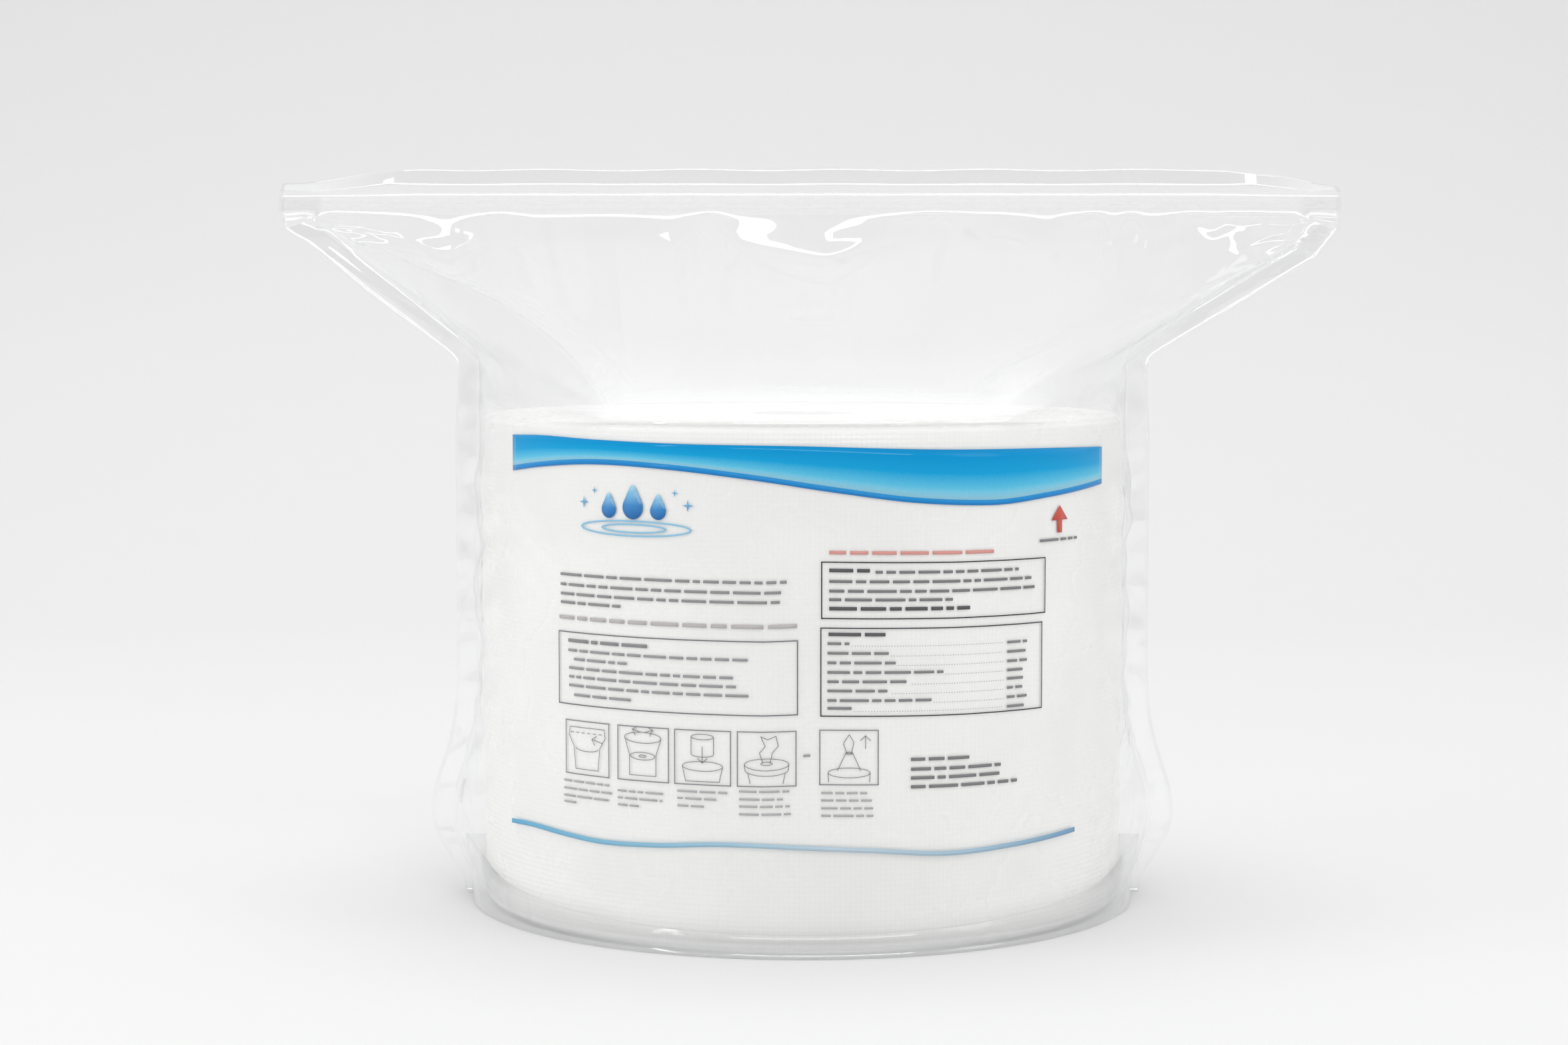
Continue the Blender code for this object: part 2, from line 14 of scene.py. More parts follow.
import bmesh
import bpy
import numpy as np
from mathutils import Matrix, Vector


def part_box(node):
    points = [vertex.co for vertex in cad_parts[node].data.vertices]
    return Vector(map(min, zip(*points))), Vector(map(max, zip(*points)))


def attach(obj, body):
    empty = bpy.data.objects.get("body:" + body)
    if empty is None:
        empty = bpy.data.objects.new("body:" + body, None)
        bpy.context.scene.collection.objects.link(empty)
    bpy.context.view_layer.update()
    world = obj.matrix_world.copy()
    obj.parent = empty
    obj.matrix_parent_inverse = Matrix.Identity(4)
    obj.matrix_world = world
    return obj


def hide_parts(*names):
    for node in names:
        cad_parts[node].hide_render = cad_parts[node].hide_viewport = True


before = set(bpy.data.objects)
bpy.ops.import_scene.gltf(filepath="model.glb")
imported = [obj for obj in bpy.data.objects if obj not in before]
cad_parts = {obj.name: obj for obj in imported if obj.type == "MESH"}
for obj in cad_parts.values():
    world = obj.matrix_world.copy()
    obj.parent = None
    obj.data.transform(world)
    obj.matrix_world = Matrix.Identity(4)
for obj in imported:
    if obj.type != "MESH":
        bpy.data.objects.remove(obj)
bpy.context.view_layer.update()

LOG = logging.getLogger("wipes_pack")
BODY = "root"
MM = 0.001

Socket = bpy.types.NodeSocket
Line = list[tuple[float, float]]
# Places from 0 to 1 with their sRGB hex colours
Stops = Sequence[tuple[float, str]]


class Slot(Enum):
    """The material slots."""

    NONWOVEN = "nonwoven_roll"
    FILM = "clear_film"
    ZIP = "zip_plastic"
    BLUE = "blue_ink"
    DEEP_BLUE = "deep_blue_ink"
    RED = "red_ink"
    GREY = "grey_ink"


class Side(Enum):
    """The two panels of the pouch, by the side of the roll that each lies on."""

    FRONT = 1
    BACK = -1


# Small helpers


def linear(code: str) -> tuple[float, float, float, float]:
    """Turn an sRGB hex colour into linear light with full alpha."""
    shares = [int(code[i:i + 2], 16) / 255 for i in (0, 2, 4)]
    light = [s / 12.92 if s <= 0.04045 else ((s + 0.055) / 1.055) ** 2.4 for s in shares]
    return (*light, 1.0)


def smooth_step(share: np.ndarray) -> np.ndarray:
    """Ease from 0 to 1 with level ends."""
    share = np.clip(share, 0.0, 1.0)
    return share * share * (3 - 2 * share)


def bump(distance: np.ndarray, width: float) -> np.ndarray:
    """Give a soft hump that is 1 at distance 0 and fades over the width."""
    return np.exp(-((distance / width) ** 2))


def deselect_all() -> None:
    """Leave nothing selected, so that an operator acts on the new piece alone."""
    bpy.ops.object.select_all(action="DESELECT")


def pick(piece: bpy.types.Object) -> None:
    """Select one object and make it the active one."""
    deselect_all()
    piece.select_set(True)
    bpy.context.view_layer.objects.active = piece


def select(piece: bpy.types.Object, kind: str, test: Callable[[object], bool]) -> None:
    """Select a piece's faces or edges that pass a test, in edit mode, and nothing else."""
    bpy.ops.mesh.select_mode(type=kind)
    bpy.ops.mesh.select_all(action="DESELECT")
    mesh = bmesh.from_edit_mesh(piece.data)
    for part in mesh.faces if kind == "FACE" else mesh.edges:
        part.select_set(test(part))
    bmesh.update_edit_mesh(piece.data)


def thicken(piece: bpy.types.Object, thickness: float, offset: float) -> None:
    """Give a sheet its thickness: half to each side at offset 0, all on its outer side at 1."""
    wall = piece.modifiers.new("Wall", "SOLIDIFY")
    wall.thickness = thickness
    wall.offset = offset
    wall.use_even_offset = False
    pick(piece)
    bpy.ops.object.modifier_apply(modifier=wall.name)


def fill_ramp(ramp: bpy.types.ColorRamp, stops: Sequence[tuple[float, Sequence[float]]]) -> None:
    """Set a colour ramp's places and linear colours."""
    while len(ramp.elements) < len(stops):
        ramp.elements.new(0.5)
    for element, (place, colour) in zip(ramp.elements, stops):
        element.position = place
        element.color = colour


def mesh_object(name: str, mesh: bpy.types.Mesh) -> bpy.types.Object:
    """Link a mesh to the scene as a new object."""
    piece = bpy.data.objects.new(name, mesh)
    bpy.context.scene.collection.objects.link(piece)
    return piece


def dress(
    piece: bpy.types.Object, material: bpy.types.Material, nodes: Sequence[str] = ()
) -> None:
    """Give a finished piece its material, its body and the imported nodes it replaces."""
    piece.data.materials.clear()
    piece.data.materials.append(material)
    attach(piece, BODY)
    if nodes:
        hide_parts(*nodes)
    LOG.info("%s: %d faces", piece.name, len(piece.data.polygons))


# Materials


@dataclass
class Graph:
    """Shader nodes under construction in one tree."""

    tree: bpy.types.NodeTree

    def node(
        self, kind: str, inputs: dict[str | int, object] | None = None, **settings: object
    ) -> bpy.types.Node:
        """Add a node with its properties, and fill its inputs with values or output sockets."""
        node = self.tree.nodes.new(f"ShaderNode{kind}")
        for name, value in settings.items():
            setattr(node, name, value)
        for key, value in (inputs or {}).items():
            if isinstance(value, bpy.types.NodeSocket):
                self.tree.links.new(value, node.inputs[key])
            else:
                node.inputs[key].default_value = value
        return node


class Recipe(Graph):
    """A node material under construction."""

    def __init__(self, name: str) -> None:
        """Start an empty material."""
        self.material = bpy.data.materials.new(name)
        self.material.use_nodes = True
        super().__init__(self.material.node_tree)
        self.tree.nodes.clear()

    def place(self) -> Socket:
        """Give the place on the object."""
        return self.node("TexCoord").outputs["Object"]

    def noise(self, place: Socket, size: float, detail: float) -> Socket:
        """Give a noise with features of about one size."""
        inputs = {"Vector": place, "Scale": 1 / size, "Detail": detail}
        return self.node("TexNoise", inputs).outputs[0]

    def maths(self, operation: str, first: object, *others: object) -> Socket:
        """Take numbers or sockets through one kind of sum, from the left."""
        for other in others or (0.0,):
            first = self.node("Math", {0: first, 1: other}, operation=operation).outputs[0]
        return first

    def ramp(self, source: Socket, stops: Stops) -> Socket:
        """Turn a value into a colour."""
        node = self.node("ValToRGB", {"Fac": source})
        fill_ramp(node.color_ramp, [(place, linear(code)) for place, code in stops])
        return node.outputs["Color"]

    def relief(self, height: Socket, strength: float = 1.0, distance: float = 1.0) -> Socket:
        """Turn a height into a normal."""
        inputs = {"Strength": strength, "Distance": distance, "Height": height}
        return self.node("Bump", inputs).outputs[0]

    def body(self, **inputs: object) -> Socket:
        """Add the main shader, with its inputs' names written with _ for a space."""
        named = {name.replace("_", " "): value for name, value in inputs.items()}
        return self.node("BsdfPrincipled", named).outputs[0]

    def over_clear(self, share: Socket, body: Socket) -> Socket:
        """Mix a shader with a clear one by its share."""
        clear = self.node("BsdfTransparent").outputs[0]
        return self.node("MixShader", {"Fac": share, 1: clear, 2: body}).outputs[0]

    def finish(self, shader: Socket) -> bpy.types.Material:
        """Link the last shader to the output."""
        self.node("OutputMaterial", {"Surface": shader})
        return self.material


@dataclass(frozen=True)
class ClearFilm:
    """Blown polyethylene film: clear and glossy, with a faint haze, and whitened where sealed; the
    same whitening paints a reflection on the film over the roll's top and lightens its foot, as
    painted light.

    A thin clear sheet sends back a few percent of the light at its face and nearly all of
    it at a glancing angle, so a mirror-like shader is mixed in by that share.
    """

    name: str = "polyethylene_film"
    face_share: float = 0.027
    glance_power: float = 5.0
    seal_and_painted_light_share: float = 0.62
    most_share: float = 0.9
    seal_and_painted_light_haze: float = 0.90
    haze: float = 0.10
    roughness: float = 0.05
    ripple: float = 14 * MM
    ripple_depth: float = 0.05 * MM
    grain: float = 3.2 * MM
    grain_depth: float = 0.006 * MM

    def material(self) -> bpy.types.Material:
        """Build the film's material."""
        recipe = Recipe(self.name)
        place = recipe.place()
        ripple, grain = (
            recipe.maths("MULTIPLY", recipe.noise(place, size, detail), depth)
            for size, detail, depth in (
                (self.ripple, 3.0, self.ripple_depth), (self.grain, 2.0, self.grain_depth),
            )
        )
        relief = recipe.relief(recipe.maths("ADD", ripple, grain))
        # The seal attribute carries the welds' whitening and painted light: a painted reflection
        # over the roll's top and a painted lightening of the foot
        seal = recipe.node("Attribute", attribute_name="seal").outputs["Fac"]
        hazed = recipe.maths("MULTIPLY", seal, self.seal_and_painted_light_haze)
        gloss = recipe.body(
            Base_Color=linear("FBFCFC"), Roughness=self.roughness, Normal=relief,
            Metallic=recipe.maths("SUBTRACT", 1 - self.haze, hazed),
        )
        facing = recipe.node("LayerWeight", {"Blend": 0.5, "Normal": relief}).outputs["Facing"]
        glance = recipe.maths("POWER", facing, self.glance_power)
        glance = recipe.maths("MULTIPLY", glance, 1 - self.face_share)
        sealed = recipe.maths("MULTIPLY", seal, self.seal_and_painted_light_share)
        share = recipe.maths("ADD", glance, self.face_share, sealed)
        share = recipe.maths("MINIMUM", share, self.most_share)
        return recipe.finish(recipe.over_clear(share, gloss))


@dataclass(frozen=True)
class ZipPlastic:
    """Extruded polyethylene of the zip: thicker than the film, so milky and waxy."""

    name: str = "extruded_polyethylene_zip"
    share: float = 0.14
    milk: float = 0.08
    roughness: float = 0.30
    draw_line: float = 0.6 * MM

    def material(self) -> bpy.types.Material:
        """Build the zip's material, with the fine lines of its extrusion."""
        recipe = Recipe(self.name)
        stretch = {"Vector": recipe.place(), "Scale": (1.5, 1.0, 1 / self.draw_line)}
        lines = recipe.noise(recipe.node("Mapping", stretch).outputs[0], 1.0, 1.0)
        body = recipe.body(
            Base_Color=linear("FDFDFD"), Roughness=self.roughness, Coat_Weight=0.3,
            Coat_Roughness=0.05, Normal=recipe.relief(lines, 0.25, 0.2 * MM),
        )
        milk = recipe.maths("MULTIPLY", lines, self.milk)
        share = recipe.maths("ADD", milk, self.share - self.milk / 2)
        return recipe.finish(recipe.over_clear(share, body))


@dataclass(frozen=True)
class DampNonwoven:
    """Spunlace nonwoven, wet: soft white with small embossed dimples and damp patches."""

    name: str = "damp_spunlace_nonwoven"
    dimple: float = 1.5 * MM
    dimple_depth: float = 0.12 * MM
    fibre: float = 0.35 * MM
    fibre_depth: float = 0.03 * MM
    patch: float = 26 * MM
    turn: float = 0.55 * MM
    turn_depth: float = 0.05 * MM

    def material(self) -> bpy.types.Material:
        """Build the wipes' material: dimples on the side, the edges of the turns on the ends."""
        recipe = Recipe(self.name)
        around = recipe.node("UVMap", uv_map="surface").outputs[0]
        place = recipe.place()
        grid = {"Vector": around, "Scale": 1 / self.dimple, "Randomness": 0.15}
        cells = recipe.node("TexVoronoi", grid, voronoi_dimensions="2D").outputs["Distance"]
        patches = recipe.noise(place, self.patch, 3.0)
        flat = recipe.node("VectorMath", {0: place, 1: (1.0, 1.0, 0.0)}, operation="MULTIPLY")
        reach = recipe.node("VectorMath", {0: flat.outputs[0]}, operation="LENGTH")
        turn = recipe.maths("MULTIPLY", reach.outputs["Value"], 2 * math.pi / self.turn)
        turns = recipe.maths("SINE", turn)
        normal = recipe.node("NewGeometry").outputs["True Normal"]
        upward = recipe.node("SeparateXYZ", {"Vector": normal}).outputs["Z"]
        on_end = recipe.maths("GREATER_THAN", recipe.maths("ABSOLUTE", upward), 0.6)
        side = recipe.maths("SUBTRACT", 1.0, on_end)
        dimples = recipe.maths("MULTIPLY", cells, side, -self.dimple_depth)
        fuzz = recipe.maths("MULTIPLY", recipe.noise(place, self.fibre, 2.0), self.fibre_depth)
        end_lines = recipe.maths("MULTIPLY", turns, on_end, self.turn_depth)
        # Painted shade: the sunken parts of the dimple relief are coloured a little darker
        painted_groove_shade = recipe.maths("MULTIPLY", cells, recipe.maths("MULTIPLY", side, 0.30))
        tone = recipe.maths("ADD", painted_groove_shade, recipe.maths("MULTIPLY", patches, 0.9))
        body = recipe.body(
            Specular_IOR_Level=0.35, Sheen_Weight=0.15,
            Base_Color=recipe.ramp(tone, ((0.25, "F8F8F6"), (0.95, "F0F0EE"))),
            Roughness=recipe.ramp(patches, ((0.35, "7A7A7A"), (0.65, "A8A8A8"))),
            Normal=recipe.relief(recipe.maths("ADD", dimples, fuzz, end_lines)),
        )
        return recipe.finish(body)


@dataclass(frozen=True)
class Ink:
    """Flexographic ink under the film's gloss, whose tone runs over the field's own map.

    The map's first axis runs from left to right over the print and its second from the
    lower to the upper edge of the field.
    """

    name: str
    upright: Stops
    sideways: Stops = ((0.0, "FFFFFF"), (1.0, "FFFFFF"))
    speckle: float = 0.5 * MM
    drift: float = 0.10
    roughness: float = 0.10

    def material(self) -> bpy.types.Material:
        """Build the ink's material."""
        recipe = Recipe(self.name)
        chart = recipe.node("UVMap", uv_map="print").outputs[0]
        axes = recipe.node("SeparateXYZ", {"Vector": chart}).outputs
        grain = recipe.noise(recipe.place(), self.speckle, 1.0)
        drift = recipe.maths("MULTIPLY", recipe.maths("SUBTRACT", grain, 0.5), self.drift)
        field = recipe.ramp(recipe.maths("ADD", axes["Y"], drift), self.upright)
        tint = recipe.ramp(axes["X"], self.sideways)
        colours = {0: 1.0, 6: field, 7: tint}
        colour = recipe.node("Mix", colours, data_type="RGBA", blend_type="MULTIPLY").outputs[2]
        body = recipe.body(
            Base_Color=colour, Roughness=self.roughness, Specular_IOR_Level=0.15
        )
        return recipe.finish(body)


# The shape of the film


@dataclass(frozen=True)
class Ear:
    """One top corner of the pouch, where the film runs from round to flat."""

    kink_rise: float
    tip_in: float
    tip_drop: float
    crown: float
    sag: float


@dataclass(frozen=True)
class Crease:
    """A soft fold in the film, from one point to another as seen from the front."""

    start: tuple[float, float]
    end: tuple[float, float]
    width: float
    height: float


@dataclass(frozen=True)
class PouchShape:
    """How the film runs round the roll, over its rim, up to the zip and out to the seals."""

    film: float = 0.15 * MM
    shown_film: float = 0.08 * MM
    gap: float = 0.30 * MM
    off_roll: float = 0.8 * MM
    seal_width: float = 8 * MM
    seam_standoff: float = 0.7 * MM
    foot_flare: float = 3.2 * MM
    foot_flare_height: float = 40 * MM
    foot_bulge: float = 8.5 * MM
    foot_bulge_level: float = 27 * MM
    foot_bulge_spread: float = 22 * MM
    seal_front: float = 6.7 * MM
    seal_side: float = 19 * MM
    seal_curve: float = 2.2
    roll_edge: float = 5 * MM
    rim_angle: float = math.radians(35)
    rim_rollover: float = 3.0 * MM
    kink_share: float = 0.80
    ridge_plan_power: float = 1.3
    ridge_crown_power: float = 6.0
    seal_ease: float = 10 * MM
    lip_forward: float = 3.5 * MM
    top_shift: float = 2.5 * MM
    shoulder_sag: float = 2.5 * MM
    pucker_height: float = 1.4 * MM
    pucker_start: float = 112 * MM
    pucker_ease: float = 16 * MM
    droops: tuple[float, float, float] = (math.radians(30), math.radians(38), math.radians(18))
    left_ear: Ear = Ear(25.4 * MM, 6 * MM, 4 * MM, 20 * MM, 0.0)
    right_ear: Ear = Ear(25.9 * MM, 6 * MM, 9 * MM, 10 * MM, 4 * MM)
    # Where the slack film under the zip bends over to the shoulder: place along the
    # pouch and drop below the zip, from the left
    lip_line: tuple[tuple[float, float], ...] = (
        (-0.150, 0.0025), (-0.129, 0.0060), (-0.1129, 0.0120),
        (-0.0968, 0.0035), (-0.0854, 0.0086),
        (-0.0602, 0.0075), (-0.0407, 0.0096), (-0.0290, 0.0022), (-0.0210, 0.0096),
        (-0.0095, 0.0115), (0.0066, 0.0143), (0.0286, 0.0062), (0.0409, 0.0014), (0.0540, 0.0042),
        (0.0640, 0.0050), (0.0781, 0.0098), (0.0850, 0.0050), (0.0937, 0.0010), (0.0988, 0.0080),
        (0.1041, 0.0010), (0.1090, 0.0074), (0.1150, 0.0060), (0.1235, 0.0012), (0.1300, 0.0036),
        (0.1380, 0.0009), (0.1502, 0.0033),
    )

    def __post_init__(self) -> None:
        """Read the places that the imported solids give."""
        roll_low, roll_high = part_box("wipes_roll")
        zip_low, zip_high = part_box("zip_rib_strip")
        places = {
            "roll_radius": roll_high.x,
            "roll_bottom": roll_low.z,
            "roll_top": roll_high.z,
            "rim": roll_high.z - self.roll_edge,
            "radius": roll_high.x + self.off_roll,
            "zip_bottom": zip_low.z,
            "zip_top": zip_high.z,
            "pouch_top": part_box("front_panel")[1].z,
            "zip_half_depth": -zip_low.y + self.gap + self.film / 2,
            "seam_half_gap": (self.gap + self.film) / 2,
        }
        for name, value in places.items():
            object.__setattr__(self, name, value)
        angle = float(self.tip_angle(np.array(self.rim)))
        object.__setattr__(self, "half", self.radius * (math.pi / 2 - angle + math.tan(angle)))
        object.__setattr__(self, "rim_share", self.radius * self.rim_angle / self.half)

    def film_radius(self, z: np.ndarray) -> np.ndarray:
        """Give the radius of the film round the roll, which spreads at the foot."""
        return self.radius + self.foot_flare * (1 - smooth_step(z / self.foot_flare_height))

    def tip_angle(self, z: np.ndarray) -> np.ndarray:
        """Give the angle at which the two films leave the round for their seal."""
        swell = self.foot_bulge * bump(z - self.foot_bulge_level, self.foot_bulge_spread)
        reach = np.maximum(self.radius + swell, self.film_radius(z)) + self.seam_standoff
        return np.arccos(self.film_radius(z) / reach)

    def length(self, z: np.ndarray) -> np.ndarray:
        """Give the film's length from the middle of the front to the side seal."""
        angle = self.tip_angle(z)
        return self.film_radius(z) * (math.pi / 2 - angle + np.tan(angle))

    @staticmethod
    def wrap(
        share: np.ndarray, radius: np.ndarray, angle: np.ndarray, z: np.ndarray
    ) -> np.ndarray:
        """Give points of a film that runs round a radius and leaves it straight for its seal.

        Args:
            share: Places along the film, from -1 at the left seal to 1 at the right one.
            radius: The radius at each point.
            angle: The angle at which the film leaves the round.
            z: The level of each point.

        Returns:
            An array of points.
        """
        along = np.abs(share) * radius * (math.pi / 2 - angle + np.tan(angle))
        arc = radius * (math.pi / 2 - angle)
        turn = np.minimum(along, arc) / radius
        past = np.maximum(along - arc, 0.0)
        x = radius * np.sin(turn) + past * np.sin(angle)
        y = -radius * np.cos(turn) + past * np.cos(angle)
        return np.stack([np.sign(share) * x, y, z + 0 * x], axis=-1)

    def outline(self, share: np.ndarray, z: np.ndarray, extra: np.ndarray) -> np.ndarray:
        """Give points of the upright film, which stands off further by the extra."""
        points = self.wrap(share, self.film_radius(z) + extra, self.tip_angle(z), z)
        points[..., 1] = np.minimum(points[..., 1], -self.seam_half_gap)
        return points

    def from_seal(self, share: np.ndarray) -> np.ndarray:
        """Ease from 0 at a side seal to 1 where the film is free of it."""
        return smooth_step((1 - np.abs(share)) * self.half / self.seal_ease)

    def pucker(self, share: np.ndarray, z: np.ndarray) -> np.ndarray:
        """Give how far the slack film stands off the roll beside the side seals."""
        along = np.abs(share) * self.half
        across = smooth_step((along - self.pucker_start) / self.pucker_ease)
        upward = smooth_step(z / self.foot_flare_height) * smooth_step((self.roll_top - z) / 0.02)
        slant = 0.10 * share * self.half
        side = np.sign(share)
        wave = np.sin(2 * math.pi * (z + slant) / 0.034 + side) + 0.5 * np.sin(
            2 * math.pi * (z - 2.4 * slant) / 0.0147 + 2 * side
        )
        return self.pucker_height * across * upward * (0.75 + 0.5 * wave) * self.from_seal(share)

    def ear_share(self, share: np.ndarray) -> np.ndarray:
        """Give how far out on an ear each column lies, from 0 at the rim to 1."""
        return np.maximum(np.abs(share) - self.rim_share, 0.0) / (1 - self.rim_share)

    def by_side(self, share: np.ndarray, field: str) -> np.ndarray:
        """Give a size of the ear on each column's side."""
        return np.where(share < 0, getattr(self.left_ear, field), getattr(self.right_ear, field))

    def rim_line(self, share: np.ndarray) -> np.ndarray:
        """Give the line where the film turns over the roll's top edge."""
        angle = share * self.half / self.radius
        radius = self.radius - self.rim_rollover
        z = np.full_like(share, self.roll_top + self.rim_rollover)
        return np.stack([radius * np.sin(angle), -radius * np.cos(angle), z], axis=-1)

    def kink_line(self, share: np.ndarray) -> np.ndarray:
        """Give the fold where an ear starts to lean out from the upright side."""
        foot = self.outline(share, np.full_like(share, self.rim), 0 * share)
        rim_height = (self.roll_top + self.rim_rollover - self.rim) * self.kink_share
        ear_rise = self.by_side(share, "kink_rise") - rim_height
        foot[..., 2] = self.rim + (rim_height + ear_rise * self.ear_share(share))
        return foot

    def ridge_line(self, share: np.ndarray) -> np.ndarray:
        """Give the crease between the sloping front and the rim or the ear."""
        out = self.ear_share(share)
        start = self.rim_line(np.sign(share) * self.rim_share)
        end_x = np.sign(share) * (self.half - self.by_side(share, "tip_in")) + self.top_shift
        crown, sag = self.by_side(share, "crown"), self.by_side(share, "sag")
        climb = self.zip_bottom - self.by_side(share, "tip_drop") - start[..., 2] - crown
        x = start[..., 0] + (end_x - start[..., 0]) * out
        y = np.minimum(start[..., 1] * (1 - out) ** self.ridge_plan_power, -self.seam_half_gap)
        z = start[..., 2] + climb * out + crown * (1 - (1 - out) ** self.ridge_crown_power)
        z = z - sag * np.sin(math.pi * out)
        ridge = np.stack([x, y, z], axis=-1)
        return np.where((out > 0)[..., None], ridge, self.rim_line(share))

    def lip_drop(self, x: np.ndarray) -> np.ndarray:
        """Give how far below the zip the slack film bends over."""
        places = np.array(self.lip_line)
        fine = np.linspace(places[0, 0], places[-1, 0], 400)
        drops = np.interp(fine, places[:, 0], places[:, 1])
        kernel = np.hanning(9)
        padded = np.pad(drops, 4, mode="edge")
        drops = np.convolve(padded, kernel / kernel.sum(), mode="valid")
        return np.interp(x, fine, drops)

    def lip_row(self, share: np.ndarray, side: Side) -> np.ndarray:
        """Give the wavy bend where the slope meets the upright film under the zip."""
        free = self.from_seal(share)
        x = share * self.half + self.top_shift
        drop = self.lip_drop(x if side is Side.FRONT else 0.02 - x)
        deepest = max(drop for _, drop in self.lip_line)
        forward = self.lip_forward * (1.25 - drop / deepest)
        y = -self.seam_half_gap - free * (self.zip_half_depth + forward)
        z = self.zip_bottom - 0.002 - free * np.maximum(drop - 0.002, 0.0)
        return np.stack([x, y, z], axis=-1)

    def flat_row(self, share: np.ndarray, depth: float, z: float) -> np.ndarray:
        """Give a level line of the flat film from the zip's lower edge upward."""
        x = share * self.half + self.top_shift
        return np.stack([x, np.full_like(x, -depth), np.full_like(x, z)], axis=-1)

    def seal_height(self, share: np.ndarray) -> np.ndarray:
        """Give the height of the curved seal between the panels and the film floor."""
        rise = self.seal_side - self.seal_front
        return self.seal_front + rise * np.abs(share) ** self.seal_curve


# The larger folds of the front film: start and end as (x, z), then width and height
FRONT_CREASES = tuple(
    Crease((x0 * MM, z0 * MM), (x1 * MM, z1 * MM), width * MM, height * MM)
    for x0, z0, x1, z1, width, height in (
        (-94.2, 121.2, -107.5, 90.0, 2.2, 1.0),
        (-94.2, 121.2, -74.5, 98.0, 2.0, 0.7),
        (-99.1, 144.7, -71.3, 105.1, 2.6, 0.6),
        (-104.0, 133.0, -108.5, 100.0, 2.0, 0.9),
        (-98.5, 56.0, -104.5, 27.0, 2.0, 0.9),
        (-92.0, 40.0, -84.0, 18.0, 2.2, 0.7),
        (100.0, 148.0, 101.5, 124.0, 1.8, 0.9),
        (93.4, 137.1, 107.6, 113.2, 2.4, 0.9),
        (98.7, 72.0, 95.5, 37.0, 1.5, 0.9),
        (90.5, 34.2, 86.5, 21.5, 2.0, 0.8),
        (103.5, 26.5, 85.0, 12.0, 2.0, 0.8),
        (106.0, 96.0, 108.5, 60.0, 2.0, 0.8),
        (-94.5, 179.0, -59.0, 160.0, 1.8, 1.0),
        (-160.0, 211.0, -125.0, 190.0, 1.5, 0.8),
        (-155.0, 206.0, -115.0, 180.0, 1.4, 0.8),
        (-140.0, 206.0, -98.0, 184.0, 1.6, 0.7),
        (153.0, 204.0, 130.0, 186.0, 1.4, 0.8),
        (140.0, 206.0, 104.0, 183.0, 1.6, 0.8),
        (96.5, 174.0, 102.0, 160.0, 1.6, 0.8),
        (-66.0, 181.5, 62.0, 181.0, 5.0, 0.7),
        (-52.0, 171.5, 48.0, 170.5, 4.0, 0.5),
        (-139.0, 214.0, -137.0, 211.0, 2.4, 0.9),
        (-130.0, 214.5, -128.0, 211.0, 2.4, 0.9),
        (-120.0, 213.0, -116.5, 208.0, 2.6, 1.1),
        (-111.0, 214.0, -104.0, 211.0, 2.6, 1.0),
        (-41.0, 216.0, -37.5, 208.5, 2.6, 1.1),
        (-35.0, 212.0, -29.0, 207.0, 2.6, 1.0),
        (-29.0, 207.0, -23.0, 212.5, 2.6, 0.9),
        (5.0, 208.5, 21.0, 210.5, 2.4, 0.8),
        (27.0, 211.5, 38.0, 215.5, 2.4, 1.0),
        (38.0, 215.5, 52.0, 210.5, 2.4, 1.0),
        (52.0, 210.5, 74.0, 207.5, 2.2, 0.9),
        (74.0, 207.5, 92.0, 215.0, 2.4, 1.0),
        (92.0, 215.0, 96.0, 208.0, 2.4, 1.1),
        (96.0, 208.0, 104.0, 214.5, 2.4, 1.1),
        (104.0, 214.5, 108.0, 208.0, 2.4, 1.1),
        (108.0, 208.0, 127.0, 213.5, 2.4, 1.0),
        (127.0, 213.5, 133.0, 211.0, 2.4, 0.9),
        (133.0, 211.0, 148.0, 214.5, 2.2, 0.9),
    )
)


# The pouch


